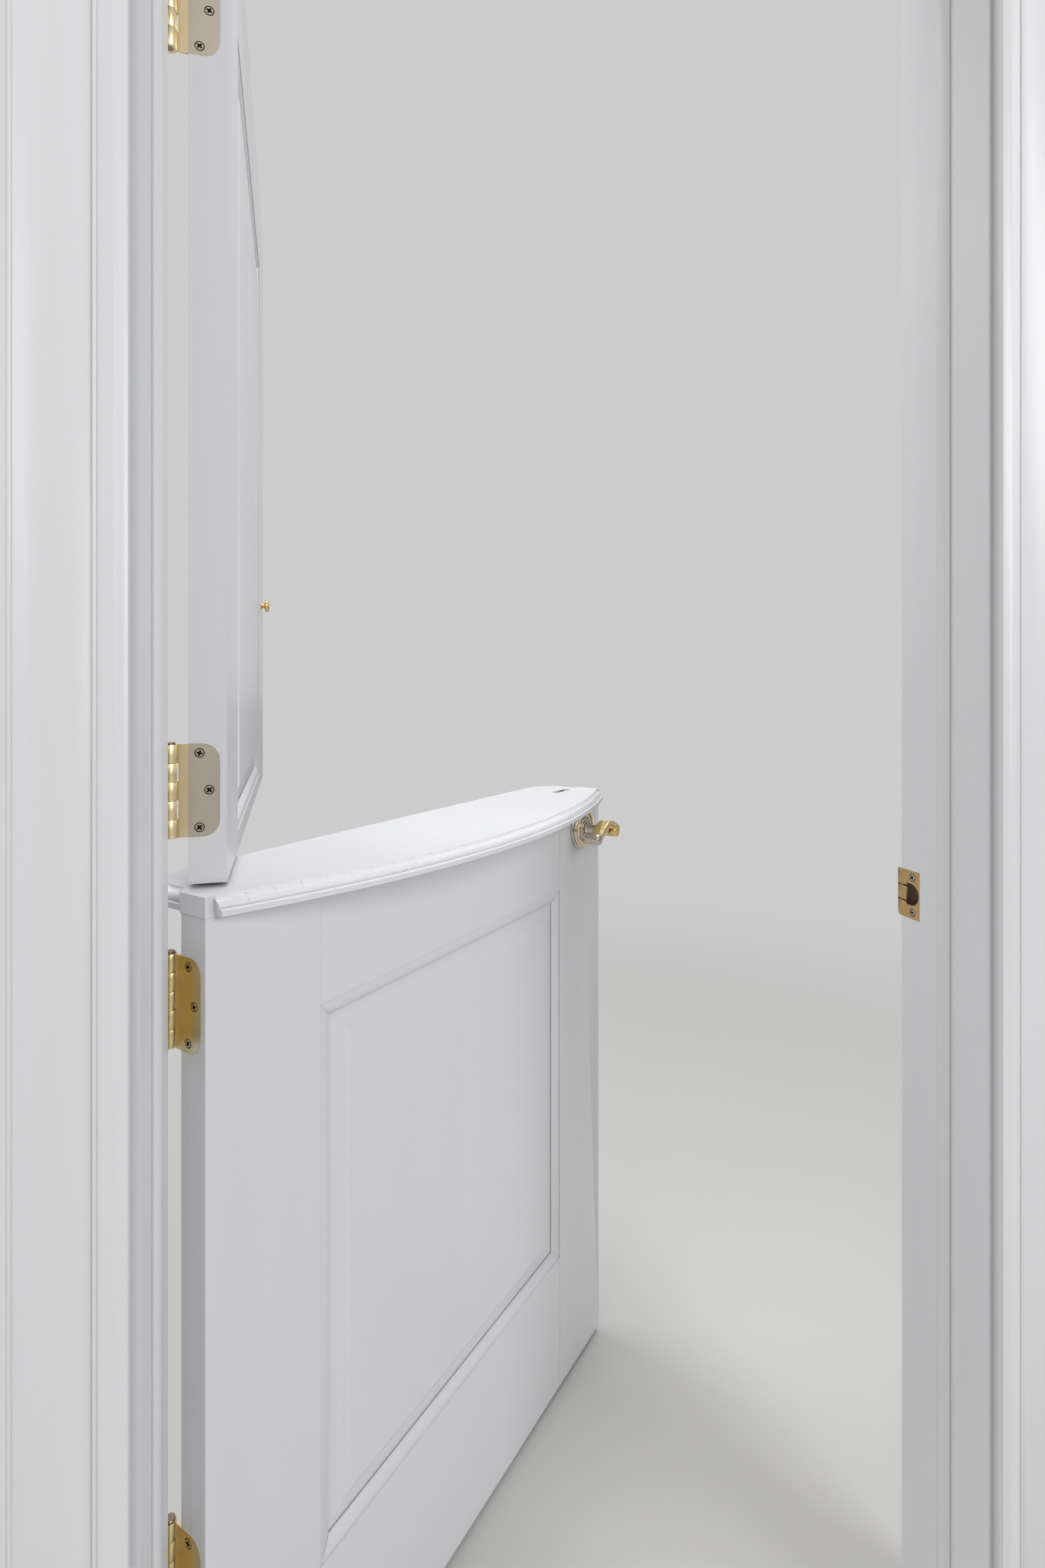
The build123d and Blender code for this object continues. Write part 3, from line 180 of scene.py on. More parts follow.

# %% [markdown]
# ## Corner shade and tarnish
# Ambient occlusion finds the corners of mouldings and the hollows of metal: it is dark where little of the
# sky shows within a small distance. The group turns it into a mask that is 1 in a tight corner and 0 on an
# open face. On the paint the mask greys the corners as painted shade; on metal it marks the tarnish that
# stays where no hand rubs it.

# %% Group: corner shade and tarnish
corner_shade_and_tarnish, given, made = start_group(
    "corner_shade_and_tarnish", [("Reach", "Float", 0.006), ("Depth", "Float", 0.5)], [("Mask", "Float")]
)
open_sky = shader_node(corner_shade_and_tarnish, "AmbientOcclusion", {"Distance": given["Reach"]}, samples=2)
closed = worked_out(corner_shade_and_tarnish, "SUBTRACT", 1.0, open_sky.outputs["AO"])
spread = shader_node(
    corner_shade_and_tarnish,
    "MapRange",
    {"Value": closed, "From Min": 0.08, "From Max": given["Depth"]},
    interpolation_type="SMOOTHSTEP",
)
corner_shade_and_tarnish.links.new(spread.outputs["Result"], made["Mask"])
print("group made:", corner_shade_and_tarnish.name)

# %% [markdown]
# ## Handling
# Metal that is touched every day is never even: soft smudges change its gloss, hair-fine
# scratches cross it, and small spots of tarnish darken it. The group gives the three as
# separate values, and each metal uses as much of them as it shows. The scratches are noise in
# a space that is turned askew and squeezed in one direction.

# %% Group: handling
SCRATCH_TURN = (0.4, 0.7, 0.3)
SCRATCH_SQUEEZE = (1.0, 0.06, 1.0)

handling, given, made = start_group(
    "handling",
    [("Smudge size", "Float", 90), ("Scratch size", "Float", 1400), ("Spot size", "Float", 420)],
    [("Smudges", "Float"), ("Scratches", "Float"), ("Spots", "Float")],
)
here = places(handling)
squeeze = {"Vector": here, "Rotation": SCRATCH_TURN, "Scale": SCRATCH_SQUEEZE}
squeezed = shader_node(handling, "Mapping", squeeze).outputs[0]
smudges = shader_node(
    handling, "TexNoise", {"Vector": here, "Scale": given["Smudge size"], "Detail": 4.0, "Roughness": 0.55}
)
scratches = shader_node(
    handling,
    "TexNoise",
    {"Vector": squeezed, "Scale": given["Scratch size"], "Detail": 2.0, "Roughness": 0.7},
)
spots = shader_node(handling, "TexNoise", {"Vector": here, "Scale": given["Spot size"], "Detail": 5.0})
spot_mask = shader_node(
    handling,
    "MapRange",
    {"Value": spots.outputs[0], "From Min": 0.66, "From Max": 0.76},
    interpolation_type="SMOOTHSTEP",
)
handling.links.new(smudges.outputs[0], made["Smudges"])
handling.links.new(scratches.outputs[0], made["Scratches"])
handling.links.new(spot_mask.outputs["Result"], made["Spots"])
print("group made:", handling.name)

# %% [markdown]
# ## Helpers for finishes
# A finish starts from the Principled shader. Its colours are mixed by masks, and its roughness
# is a mask taken to a small range. Two of the finishes change near a line through the model:
# the paint in the round latch hole, and the metal near the hinge pins. So one helper measures
# the distance from such a line and another fades a mask out with distance.


# %% Helpers for finishes
def mix_colours(tree, share, first, second):
    """The colour between two others; each of the three may be a value or a socket."""
    mix = shader_node(tree, "Mix", data_type="RGBA")
    factor, start, end = mix.inputs[0], mix.inputs[6], mix.inputs[7]
    for socket, value in ((factor, share), (start, first), (end, second)):
        fill(tree, socket, value)
    return mix.outputs[2]


def blank_material(name):
    """A material with its Principled shader, ready for links."""
    material = bpy.data.materials.new(name)
    material.use_nodes = True
    tree = material.node_tree
    return material, tree, tree.nodes["Principled BSDF"]


def scaled(tree, value, low, high):
    """A 0 to 1 value taken to another range."""
    values = {"Value": value, "To Min": low, "To Max": high}
    return shader_node(tree, "MapRange", values).outputs["Result"]


def fading(tree, distance, inner, outer):
    """1 up to the inner distance and 0 from the outer one on."""
    values = {"Value": distance, "From Min": inner, "From Max": outer, "To Min": 1.0, "To Max": 0.0}
    return shader_node(tree, "MapRange", values).outputs["Result"]


def from_line(tree, line, direction):
    """The distance from a line along one axis of the model, and the offset from its point."""
    offset = shader_node(tree, "VectorMath", {0: places(tree), 1: line}, operation="SUBTRACT").outputs[0]
    across = tuple(1 - c for c in direction)
    flat = shader_node(tree, "VectorMath", {0: offset, 1: across}, operation="MULTIPLY").outputs[0]
    return shader_node(tree, "VectorMath", {0: flat}, operation="LENGTH").outputs["Value"], offset


# %% [markdown]
# ## White paint
# The woodwork is finished in a cool white semi-gloss. The colour is nearly flat, so its life comes from
# three small things: brush ridges that catch the light, a slow change of tone, and a faint grey painted
# into the corners as shade. One function builds the finish for a given stroke direction, since stiles are
# brushed upright and rails along their length. The strike jamb has the latch hole bored through it, and
# the wood in there is bare past the first millimetre or so, painted dark brown as bare wood in shade.

# %% Finish: white paint
PAINT_WHITE = (0.800, 0.805, 0.835, 1)
PAINT_WARM = (0.775, 0.775, 0.790, 1)
PAINTED_CORNER_SHADE = (0.46, 0.46, 0.48, 1)
RAW_WOOD_IN_SHADE = (0.10, 0.055, 0.03, 1)
STRIKE_HOLE = (829.5 * MM, 44.5 * MM, 910 * MM)
HOLE_INNER, HOLE_OUTER = 20.5 * MM, 21.0 * MM
PAINTED_DEPTH = 1.2 * MM


def bare_shaded_hole(tree, colour):
    """The bare wood inside the latch hole of the strike jamb, painted dark brown as bare wood in shade,
    and the paint's colour elsewhere.
    """
    distance, offset = from_line(tree, STRIKE_HOLE, (1, 0, 0))
    in_round = fading(tree, distance, HOLE_INNER, HOLE_OUTER)
    depth = shader_node(tree, "SeparateXYZ", {0: offset}).outputs["X"]
    deep = worked_out(tree, "GREATER_THAN", depth, PAINTED_DEPTH)
    # painted shade: dark brown for the bare wood in the shade of the hole
    return mix_colours(tree, worked_out(tree, "MULTIPLY", in_round, deep), colour, RAW_WOOD_IN_SHADE)


def white_paint(name, along, holed=False):
    """The paint, brushed along one direction, with painted shade in its corners. holed leaves the latch
    hole bare and dark with painted shade.
    """
    material, tree, shader = blank_material(name)
    marks = place_group(tree, brush_marks, {"Along": along})
    corners = place_group(tree, corner_shade_and_tarnish, {"Reach": 0.009, "Depth": 0.65})
    tone = mix_colours(tree, marks["Tone"], PAINT_WHITE, PAINT_WARM)
    # painted shade: the occlusion mask greys the paint in the corners of the mouldings
    shaded = mix_colours(tree, scaled(tree, corners["Mask"], 0.0, 0.75), tone, PAINTED_CORNER_SHADE)
    if holed:
        shaded = bare_shaded_hole(tree, shaded)
    relief = {"Strength": 0.35, "Distance": 0.00018, "Height": marks["Height"]}
    tree.links.new(shaded, shader.inputs["Base Color"])
    tree.links.new(scaled(tree, marks["Tone"], 0.27, 0.40), shader.inputs["Roughness"])
    tree.links.new(shader_node(tree, "Bump", relief).outputs[0], shader.inputs["Normal"])
    return material


LOWER_ANGLE = math.radians(42.6)
UPRIGHT = (0, 0, 1)
ACROSS_FRAME = (1, 0, 0)
ACROSS_LOWER = (math.cos(LOWER_ANGLE), math.sin(LOWER_ANGLE), 0)
ACROSS_UPPER = (0, 1, 0)

paint_upright = white_paint("white_paint_upright", UPRIGHT)
paint_head = white_paint("white_paint_head", ACROSS_FRAME)
paint_lower = white_paint("white_paint_lower_rails", ACROSS_LOWER)
paint_upper = white_paint("white_paint_upper_rails", ACROSS_UPPER)
paint_strike = white_paint("white_paint_strike_jamb", UPRIGHT, holed=True)
print("paint made:", [m.name for m in bpy.data.materials if "paint" in m.name])

# %% [markdown]
# ## Painted shade along the strike's cuts
# The strike's tongue is parted from its plate by two thin saw cuts. The cuts themselves are in the
# imported model, and this helper paints a dark shade along them, a little wider than the cuts: two bands
# that lie evenly above and below the middle of the strike, and begin beyond its hole.

# %% Painted shade along the cuts
SLIT_MIDDLE = 910 * MM
SLIT_APART = 9 * MM
SLIT_START = 54 * MM
SLIT_SHADE_INNER, SLIT_SHADE_OUTER = 0.7 * MM, 1.3 * MM


def shaded_slits(tree, colour, painted_shade):
    """Painted shade along the two cuts beside the strike's tongue, and the colour elsewhere."""
    here = shader_node(tree, "SeparateXYZ", {0: places(tree)}).outputs
    from_middle = worked_out(tree, "ABSOLUTE", worked_out(tree, "SUBTRACT", here["Z"], SLIT_MIDDLE))
    from_cut = worked_out(tree, "ABSOLUTE", worked_out(tree, "SUBTRACT", from_middle, SLIT_APART))
    # painted shade: a dark band along each cut
    beside = fading(tree, from_cut, SLIT_SHADE_INNER, SLIT_SHADE_OUTER)
    past_hole = worked_out(tree, "GREATER_THAN", here["Y"], SLIT_START)
    return mix_colours(tree, worked_out(tree, "MULTIPLY", beside, past_hole), colour, painted_shade)


print("the cuts lie", round(2 * SLIT_APART / MM), "mm apart")

# %% [markdown]
# ## Metals
# A metal's colour is its base colour with Metallic at 1. Tarnish gathers in the corners and in
# small spots, where the metal is darker, and smudges change its gloss. One function builds them
# all from a clean and a tarnished colour and a pair of roughnesses. Real hinge plates mirror
# what stands round them, so the strip beside the barrel is gold and the rest paler or greyer.
# The studio gives them nothing of that kind to mirror, so the second tone is part of the
# colour, beyond a distance from the hinge pins.

# %% One metal
PIN = Vector((10.5, 78.0, 0)) * MM
TONE_BLEND = 0.3


def metal(name, clean, tarnish, roughness, scratch, spots=0.35, far=None, reach=16.0, slits=False):
    """A metal with its roughness where it is clear and where it is smudged.

    far is the colour of a painted reflection, used further than reach (in mm) from the hinge pins, and
    slits adds the painted shade along the strike's cuts.
    """
    material, tree, shader = blank_material(name)
    # painted shade along the strike's cuts
    colour = shaded_slits(tree, clean, tarnish) if slits else clean
    # beyond reach from the pins the colour is a painted reflection
    if far:
        distance, _ = from_line(tree, tuple(PIN), (0, 0, 1))
        near_pin = fading(tree, distance, (reach - TONE_BLEND) * MM, (reach + TONE_BLEND) * MM)
        colour = mix_colours(tree, near_pin, far, colour)
    touched = place_group(tree, handling, {})
    corners = place_group(tree, corner_shade_and_tarnish, {"Reach": 0.004, "Depth": 0.9})
    spotted = worked_out(tree, "MULTIPLY", touched["Spots"], spots)
    stained = worked_out(tree, "MAXIMUM", spotted, corners["Mask"])
    relief = {"Strength": scratch, "Distance": 0.00004, "Height": touched["Scratches"]}
    tree.links.new(mix_colours(tree, stained, colour, tarnish), shader.inputs["Base Color"])
    tree.links.new(scaled(tree, touched["Smudges"], *roughness), shader.inputs["Roughness"])
    tree.links.new(shader_node(tree, "Bump", relief).outputs[0], shader.inputs["Normal"])
    shader.inputs["Metallic"].default_value = 1
    return material


print("a second tone blends in over", 2 * TONE_BLEND, "mm")

# %% [markdown]
# ## Metals of the hinges and plates
# The hinges are satin brass with dark bronze pins, and further from the pins their plates carry a painted
# reflection, taupe on the upper pair. The lower pair is a deeper gold in the photograph, and its painted
# reflection further out is silver. The strike is a redder brass, and the keeper in the shelf is a dull
# nickel. The latch's face plate and the dutch bolt share one satin brass.

# %% Finish: hinges and plates
BRASS_SHADE = (0.26, 0.18, 0.08, 1)
# colours of painted reflections on the plates further from the pins
TAUPE_REFLECTION = (0.72, 0.64, 0.53, 1)
SILVER_REFLECTION = (0.80, 0.76, 0.66, 1)

hinge_brass = metal("hinge_brass", (0.93, 0.78, 0.49, 1), BRASS_SHADE, (0.30, 0.42), 0.05, far=TAUPE_REFLECTION)
gold_brass = metal(
    "gold_brass", (0.86, 0.73, 0.43, 1), BRASS_SHADE, (0.26, 0.38), 0.05, far=SILVER_REFLECTION, reach=33
)
pin_bronze = metal("pin_bronze", (0.36, 0.27, 0.20, 1), (0.12, 0.08, 0.05, 1), (0.22, 0.36), 0.05, 0.4)
satin_brass = metal("satin_brass", (0.68, 0.48, 0.23, 1), (0.16, 0.08, 0.03, 1), (0.20, 0.34), 0.06, 0.5)
strike_brass = metal(
    "strike_brass", (0.66, 0.45, 0.20, 1), (0.12, 0.05, 0.02, 1), (0.20, 0.34), 0.06, 0.5, slits=True
)
dull_nickel = metal("dull_nickel", (0.58, 0.54, 0.46, 1), (0.14, 0.11, 0.08, 1), (0.24, 0.40), 0.08, 0.4)
print("metals so far:", sum("paint" not in m.name for m in bpy.data.materials))

# %% [markdown]
# ## Metals of the levers, the screws and the latch
# The levers and the knob are polished and lacquered brass, so they mirror what is round them and have
# hardly a spot. The ropes are the same metal with dark grooves, and the roses, necks and tips are a warm
# nickel. The screws are brassy steel, and their crosses and the rings round their heads are painted nearly
# black, as dirt and as painted shade. The spindle and the latch's own pieces are plain steel.

# %% Finish: levers, screws and latch
polished_brass = metal(
    "polished_brass", (0.90, 0.68, 0.30, 1), (0.26, 0.17, 0.06, 1), (0.07, 0.15), 0.04, 0.1
)
rope_brass = metal("rope_brass", (0.90, 0.76, 0.48, 1), (0.07, 0.045, 0.02, 1), (0.10, 0.18), 0.03, 0.1)
warm_nickel = metal("warm_nickel", (0.66, 0.60, 0.50, 1), (0.16, 0.13, 0.09, 1), (0.08, 0.18), 0.04, 0.15)
screw_steel = metal("screw_steel", (0.70, 0.62, 0.50, 1), (0.16, 0.11, 0.07, 1), (0.18, 0.30), 0.05)
# nearly black for dirt and painted shade in the crosses and round the heads
screw_dirt_and_shade = metal("screw_dirt_and_shade", (0.05, 0.035, 0.025, 1), (0.02, 0.015, 0.01, 1), (0.5, 0.7), 0.3)
plain_steel = metal("plain_steel", (0.55, 0.55, 0.56, 1), (0.16, 0.14, 0.12, 1), (0.24, 0.40), 0.1)
print("metals in all:", sum("paint" not in m.name for m in bpy.data.materials))

# %% [markdown]
# ## Eased edges
# Each solid keeps its exact mesh and gets its finish in its material slot. Real joinery has no
# razor edges: the arrises are eased with sandpaper and rounded by paint, and that thin round is
# what shows where two white boards meet. A Weld modifier closes the mesh along its sharp edges,
# and a Bevel modifier then rounds only edges sharper than 30 degrees, which leaves the measured
# shape alone. The shelf's front is a bow of many short faces, so there a Weighted Normal
# modifier takes the place of the bevel's own hard normals and shades the bow as one curve. The
# shelf and the casings are run with a moulding cutter, so their fine steps keep sharper arrises
# than the boards do.

# %% Ease one solid
WOOD_EASE = 0.9 * MM
MOULDED_EASE = 0.35 * MM
METAL_EASE = 0.25 * MM
WELD_WITHIN = 0.01 * MM
EASE_STEPS = 2
SHARP_EDGE = math.radians(30)
FACE_WEIGHT = 50


def dress(node, material, ease, curved=False):
    """Give a solid its finish and ease its sharp edges. curved shades it smoothly."""
    piece = nodes[node]
    piece.data.materials.clear()
    piece.data.materials.append(material)
    weld = piece.modifiers.new("close the edges", "WELD")
    weld.merge_threshold = WELD_WITHIN
    round_edges = piece.modifiers.new("ease the edges", "BEVEL")
    round_edges.width = ease
    round_edges.segments = EASE_STEPS
    round_edges.limit_method = "ANGLE"
    round_edges.angle_limit = SHARP_EDGE
    round_edges.harden_normals = not curved
    if curved:
        smooth = piece.modifiers.new("shade the curve", "WEIGHTED_NORMAL")
        smooth.mode = "FACE_AREA"
        smooth.weight = FACE_WEIGHT


print("edges are eased by", round(WOOD_EASE / MM, 2), "mm on boards and less on mouldings and metal")

# %% [markdown]
# ## Paint on the woodwork
# A painter brushes each board along its length, so every board gets the paint whose strokes run
# its way: upright on stiles, jambs, casings and panels, and across on the rails, the shelf and
# the head. The lower leaf stands open at an angle, so its rails have their own direction.

# %% Dress the woodwork
WOOD_ENDS = ("_jamb", "_stop", "_casing", "_stile", "_rail", "_panel", "shelf")


def paint_for(name):
    """The paint whose strokes run along this board."""
    if name in ("shelf", "lock_rail", "lower_bottom_rail"):
        return paint_lower
    if name in ("meeting_rail", "top_rail"):
        return paint_upper
    if "head" in name:
        return paint_head
    return paint_strike if name == "strike_jamb" else paint_upright


wood = [name for name in nodes if name.endswith(WOOD_ENDS)]
for name in wood:
    moulded = name == "shelf" or name.endswith("_casing")
    dress(name, paint_for(name), MOULDED_EASE if moulded else WOOD_EASE, curved=name == "shelf")
print("painted:", len(wood), "boards, stops, casings and panels")

# %% [markdown]
# ## Metal on the hardware
# The hinge plates and pins come in sets, so their finish follows from their names. The other
# pieces of hardware are few and each has its own, so a plain list of them is clearest. Metal
# parts are stamped, cast or turned, and their edges are eased far less than those of boards.

# %% Dress the hardware
METAL_FINISHES = {
    "strike_plate": strike_brass,
    "bolt_keeper": dull_nickel,
    "latch_face_plate": satin_brass,
    "dutch_bolt_plate": satin_brass,
    "dutch_bolt_bar": satin_brass,
    "pull_knob": polished_brass,
    "latch_bolt": plain_steel,
    "latch_case": plain_steel,
    "latch_hub": plain_steel,
    "spindle": plain_steel,
    "pull_knob_screw": screw_steel,
}

for name in nodes:
    if "hinge" in name and name.endswith("_plate"):
        dress(name, gold_brass if name.startswith("lower") else hinge_brass, METAL_EASE)
    elif name.endswith("_pin"):
        dress(name, pin_bronze, METAL_EASE)
for name, finish in METAL_FINISHES.items():
    dress(name, finish, METAL_EASE)
print("finishes on", sum(bool(o.data.materials) for o in nodes.values()), "nodes")

# %% [markdown]
# ## Tools for new pieces
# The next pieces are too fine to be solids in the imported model, so they are built here as
# meshes. Nearly all of them are made in the same way: a ring of points is carried along a path
# and each ring is joined to the next, which modellers call a loft. A turned piece is a loft
# round an axis, and a rope is a loft whose ring twists as it goes.

# %% Lofts and turned shapes
TURNED_STEPS = 64


def loft(rings, closed=False):
    """Faces between rings of equal length. closed joins the last ring to the first."""
    count = len(rings[0])
    points = [p for ring in rings for p in ring]
    faces = []
    spans = len(rings) if closed else len(rings) - 1
    for i in range(spans):
        here, there = i * count, (i + 1) % len(rings) * count
        for k in range(count):
            after = (k + 1) % count
            faces.append((here + k, here + after, there + after, there + k))
    if not closed:
        faces.append(tuple(range(count)))
        faces.append(tuple(range(len(points) - count, len(points))))
    return points, faces


def angles_round(steps):
    """Even angles round a full turn."""
    return [math.tau * k / steps for k in range(steps)]


def turned(profile, steps=TURNED_STEPS, closed=False):
    """A piece turned about +Z from (height, radius) pairs. closed joins the last to the first."""
    rings = []
    for height, radius in profile:
        ring = [Vector((radius * math.cos(a), radius * math.sin(a), height)) for a in angles_round(steps)]
        rings.append(ring)
    return loft(rings, closed)


def joined(parts):
    """Several (points, faces) shapes as one."""
    points, faces = [], []
    for more_points, more_faces in parts:
        start = len(points)
        points += more_points
        faces += [tuple(start + i for i in face) for face in more_faces]
    return points, faces


def moved(shape, matrix):
    """A shape taken through a matrix."""
    points, faces = shape
    return [matrix @ p for p in points], faces


print("a turned piece has", TURNED_STEPS, "sides")

# %% [markdown]
# ## From a shape to a piece
# A shape is a list of points in millimetres and a list of faces. To become a piece of the door it needs a
# mesh in metres, its finishes, and the body that it rides on when the door moves. Sharp edges are marked
# by angle, so round parts shade smoothly and arrises stay crisp. Pieces of the lower leaf are drawn with
# the leaf shut, where its sizes are easy to read, and then turned about the hinge pins to where the leaf
# rests.

# %% New piece
SAME_POINT = 0.002 * MM


def new_piece(name, shape, finishes, body, sharp=35, finish_of=None):
    """A mesh object in millimetres at rest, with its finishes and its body.

    finish_of tells from a face's number which of the finishes it has.
    """
    points, faces = shape
    mesh = bpy.data.meshes.new(name)
    mesh.from_pydata([p * MM for p in points], [], faces)
    tidy = bmesh.new()
    tidy.from_mesh(mesh)
    for face in tidy.faces:
        face.material_index = finish_of(face.index) if finish_of else 0
    bmesh.ops.remove_doubles(tidy, verts=tidy.verts, dist=SAME_POINT)
    bmesh.ops.recalc_face_normals(tidy, faces=tidy.faces)
    tidy.to_mesh(mesh)
    tidy.free()
    mesh.shade_smooth()
    mesh.set_sharp_from_angle(angle=math.radians(sharp))
    for finish in finishes:
        mesh.materials.append(finish)
    piece = bpy.data.objects.new(name, mesh)
    scene.collection.objects.link(piece)
    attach(piece, body)
    return piece


to_metres = Matrix.Scale(MM, 4)
about_pin = Matrix.Translation(PIN) @ Matrix.Rotation(LOWER_ANGLE, 4, "Z") @ Matrix.Translation(-PIN)
LEAF_TO_REST = to_metres.inverted() @ about_pin @ to_metres
print("the lower leaf stands open by", round(math.degrees(LOWER_ANGLE), 1), "degrees")

# %% [markdown]
# ## Screws with crosses
# Each plate is held by countersunk screws with a cross for the driver. The imported model has them as
# plain turned solids, in one node for each set. Here every screw gets a real head: a face that is a little
# raised, a dark ring round it where it sits in its plate, painted nearly black as dirt and as the shade of
# the gap, and a cross that is cut with sloping walls down to a small floor and is painted dark in the same
# way. The face round the cross is four corner patches and four end strips, so the edges of the cross stay
# straight, which a round grid could not do.

# %% One screw
WING_LENGTH = 0.66
WING_HALF = 0.2
FLOOR_SHARE = 0.7
CROSS_DEPTH = 0.6
CROSS_CORNERS = 12
FACE_RISE = 0.3
FACE_INSET = 0.95
EDGE_INSET = 0.45
EDGE_WALL = 0.2
DARK_RING_OUT = 0.45
DARK_RING_RISE = 0.04
DARK_RING_SINK = 0.3
TIP_R = 0.05
SCREW_STEPS = 32


def cross_outline(length, half, height):
    """The twelve corners of a cross, in order round it."""
    corner = [(length, -half), (length, half), (half, half)]
    points = []
    for a in angles_round(4):
        c, s = math.cos(a), math.sin(a)
        points += [Vector((x * c - y * s, x * s + y * c, height)) for x, y in corner]
    return points


def cross_face(head_r, head_t):
    """The raised face of a screw with the cross cut in it; the cross's faces come first."""
    rim = head_r - FACE_INSET
    length, half = WING_LENGTH * head_r, WING_HALF * head_r
    points = [Vector((rim * math.cos(a), rim * math.sin(a), FACE_RISE)) for a in angles_round(SCREW_STEPS)]
    points += cross_outline(length, half, FACE_RISE)
    points += cross_outline(FLOOR_SHARE * length, FLOOR_SHARE * half, -CROSS_DEPTH * head_t)
    top, floor = SCREW_STEPS, SCREW_STEPS + CROSS_CORNERS
    faces = [tuple(floor + k for k in range(CROSS_CORNERS))]
    for k in range(CROSS_CORNERS):
        after = (k + 1) % CROSS_CORNERS
        faces.append((top + k, top + after, floor + after, floor + k))
    lean = round(SCREW_STEPS / math.tau * math.atan2(WING_HALF, WING_LENGTH))
    for quarter in range(4):
        base = top + 3 * quarter
        first = quarter * SCREW_STEPS // 4
        end = [(first - lean + i) % SCREW_STEPS for i in range(2 * lean + 1)]
        faces.append(tuple(end) + (base + 1, base))
        side = [(first + lean + i) % SCREW_STEPS for i in range(SCREW_STEPS // 4 - 2 * lean + 1)]
        faces.append(tuple(side) + (top + (3 * quarter + 3) % CROSS_CORNERS, base + 2, base + 1))
    return points, faces


def screw(head_r, head_t, shank_r, length, point):
    """A countersunk screw that points down, with its cross in the face at the origin."""
    rim, edge, dark_ring_r = head_r - FACE_INSET, head_r - EDGE_INSET, head_r + DARK_RING_OUT
    # the dark ring round the head: dirt and painted shade in the gap to the plate
    line = [(-DARK_RING_SINK, edge), (DARK_RING_RISE, edge), (DARK_RING_RISE, dark_ring_r), (-DARK_RING_SINK, dark_ring_r)]
    painted_shade = turned(line, SCREW_STEPS, True)
    dome = [(FACE_RISE, rim), (0.85 * FACE_RISE, rim + 0.3), (0.3 * FACE_RISE, edge - 0.02), (0, edge)]
    shank = [(-EDGE_WALL, edge), (-head_t, shank_r), (point - length, shank_r), (-length, TIP_R)]
    points, faces = turned(dome + shank, SCREW_STEPS)
    open_body = points, faces[:-2]
    return joined([painted_shade, cross_face(head_r, head_t), open_body])


WOOD_SCREW = screw(head_r=4.2, head_t=1.7, shank_r=2.0, length=16.0, point=4.0)
SMALL_SCREW = screw(head_r=2.7, head_t=1.3, shank_r=1.2, length=10.0, point=2.5)
print("faces in one screw:", len(WOOD_SCREW[1]))

# %% [markdown]
# ## Two finishes on one screw
# The first faces of each screw are painted dark, as dirt and as painted shade: the ring round the head has
# four rows of faces, and the cross has a floor and twelve walls. The rest is clean metal. A screw's faces
# repeat in the same order in every set, so a face's number is enough to tell which finish it has.

# %% Dirt and painted shade, or steel
DARK_RING_ROWS = 4
DARK_FACES = DARK_RING_ROWS * SCREW_STEPS + CROSS_CORNERS + 1


def screw_finish(number):
    """1 for a face in a screw's cross or in its dark ring round the head, painted as dirt and as shade,
    and 0 elsewhere.
    """
    return int(number % len(WOOD_SCREW[1]) < DARK_FACES)


print("of these,", DARK_FACES, "are dirt")

# %% [markdown]
# ## Where the screws sit
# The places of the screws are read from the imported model, so they always fit it. A node's mesh
# falls into separate screws; the long axis of each one gives its direction, and its wide end
# is the head.

# %% Find the screws
import numpy as np

JOINED_WITHIN = 0.01 * MM
FACE_BAND = 0.05


def separate_solids(node):
    """The points of each separate solid in a node's mesh, in millimetres."""
    whole = bmesh.new()
    whole.from_mesh(nodes[node].data)
    bmesh.ops.remove_doubles(whole, verts=whole.verts, dist=JOINED_WITHIN)
    left = set(whole.verts)
    solids = []
    while left:
        reached = [left.pop()]
        for vertex in reached:
            for edge in vertex.link_edges:
                other = edge.other_vert(vertex)
                if other in left:
                    left.remove(other)
                    reached.append(other)
        solids.append(np.array([v.co[:] for v in reached]) / MM)
    whole.free()
    return sorted(solids, key=lambda points: tuple(points.mean(axis=0).round(3)))


def screw_seat(points):
    """The matrix that sets a screw's head where the solid's wide end is."""
    centre = (points.min(axis=0) + points.max(axis=0)) / 2
    axis = np.linalg.svd(points - points.mean(axis=0))[2][0]
    along = (points - centre) @ axis
    off_axis = np.linalg.norm(points - centre - np.outer(along, axis), axis=1)
    if off_axis[along < 0].max() > off_axis[along > 0].max():
        axis, along = -axis, -along
    face = points[along > along.max() - FACE_BAND].mean(axis=0)
    aim = Vector(axis).to_track_quat("Z", "Y").to_matrix().to_4x4()
    return Matrix.Translation(Vector(face)) @ aim


screw_sets = [name for name in nodes if name.endswith("_screws")]
print("sets of screws:", screw_sets)

# %% [markdown]
# ## Screws in their places
# The heads are turned by hand on the real door, so each cross points its own way; the turns
# come from a seeded random generator. A set stays one piece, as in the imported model, and rides
# on the same body as the set that it replaces.

# %% Screws in their places
import random

turns = random.Random(11)


def body_of(node):
    """The body of the door that a node belongs to."""
    return next(body for body, holder in frame["bodies"].items() if nodes[node].parent == holder)


for name in screw_sets:
    small = name.startswith(("bolt_keeper", "dutch_bolt", "latch_face"))
    shape = SMALL_SCREW if small else WOOD_SCREW
    placed = []
    for points in separate_solids(name):
        turn = Matrix.Rotation(turns.uniform(0, math.pi / 2), 4, "Z")
        placed.append(moved(shape, screw_seat(points) @ turn))
    finishes = (screw_steel, screw_dirt_and_shade)
    crossed = name + "_crossed"
    piece = new_piece(crossed, joined(placed), finishes, body_of(name), 25, screw_finish)
    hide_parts(name)
    print(name, "has", len(placed), "screws")

# %% [markdown]
# ## Twisted rope
# A fine rope lies on each rose and along each lever. It could be a row of beads, but a cast
# rope is one strand that turns as it goes, and its grooves lean. So a section with a few lobes
# is carried along a path and turned a little at each step.

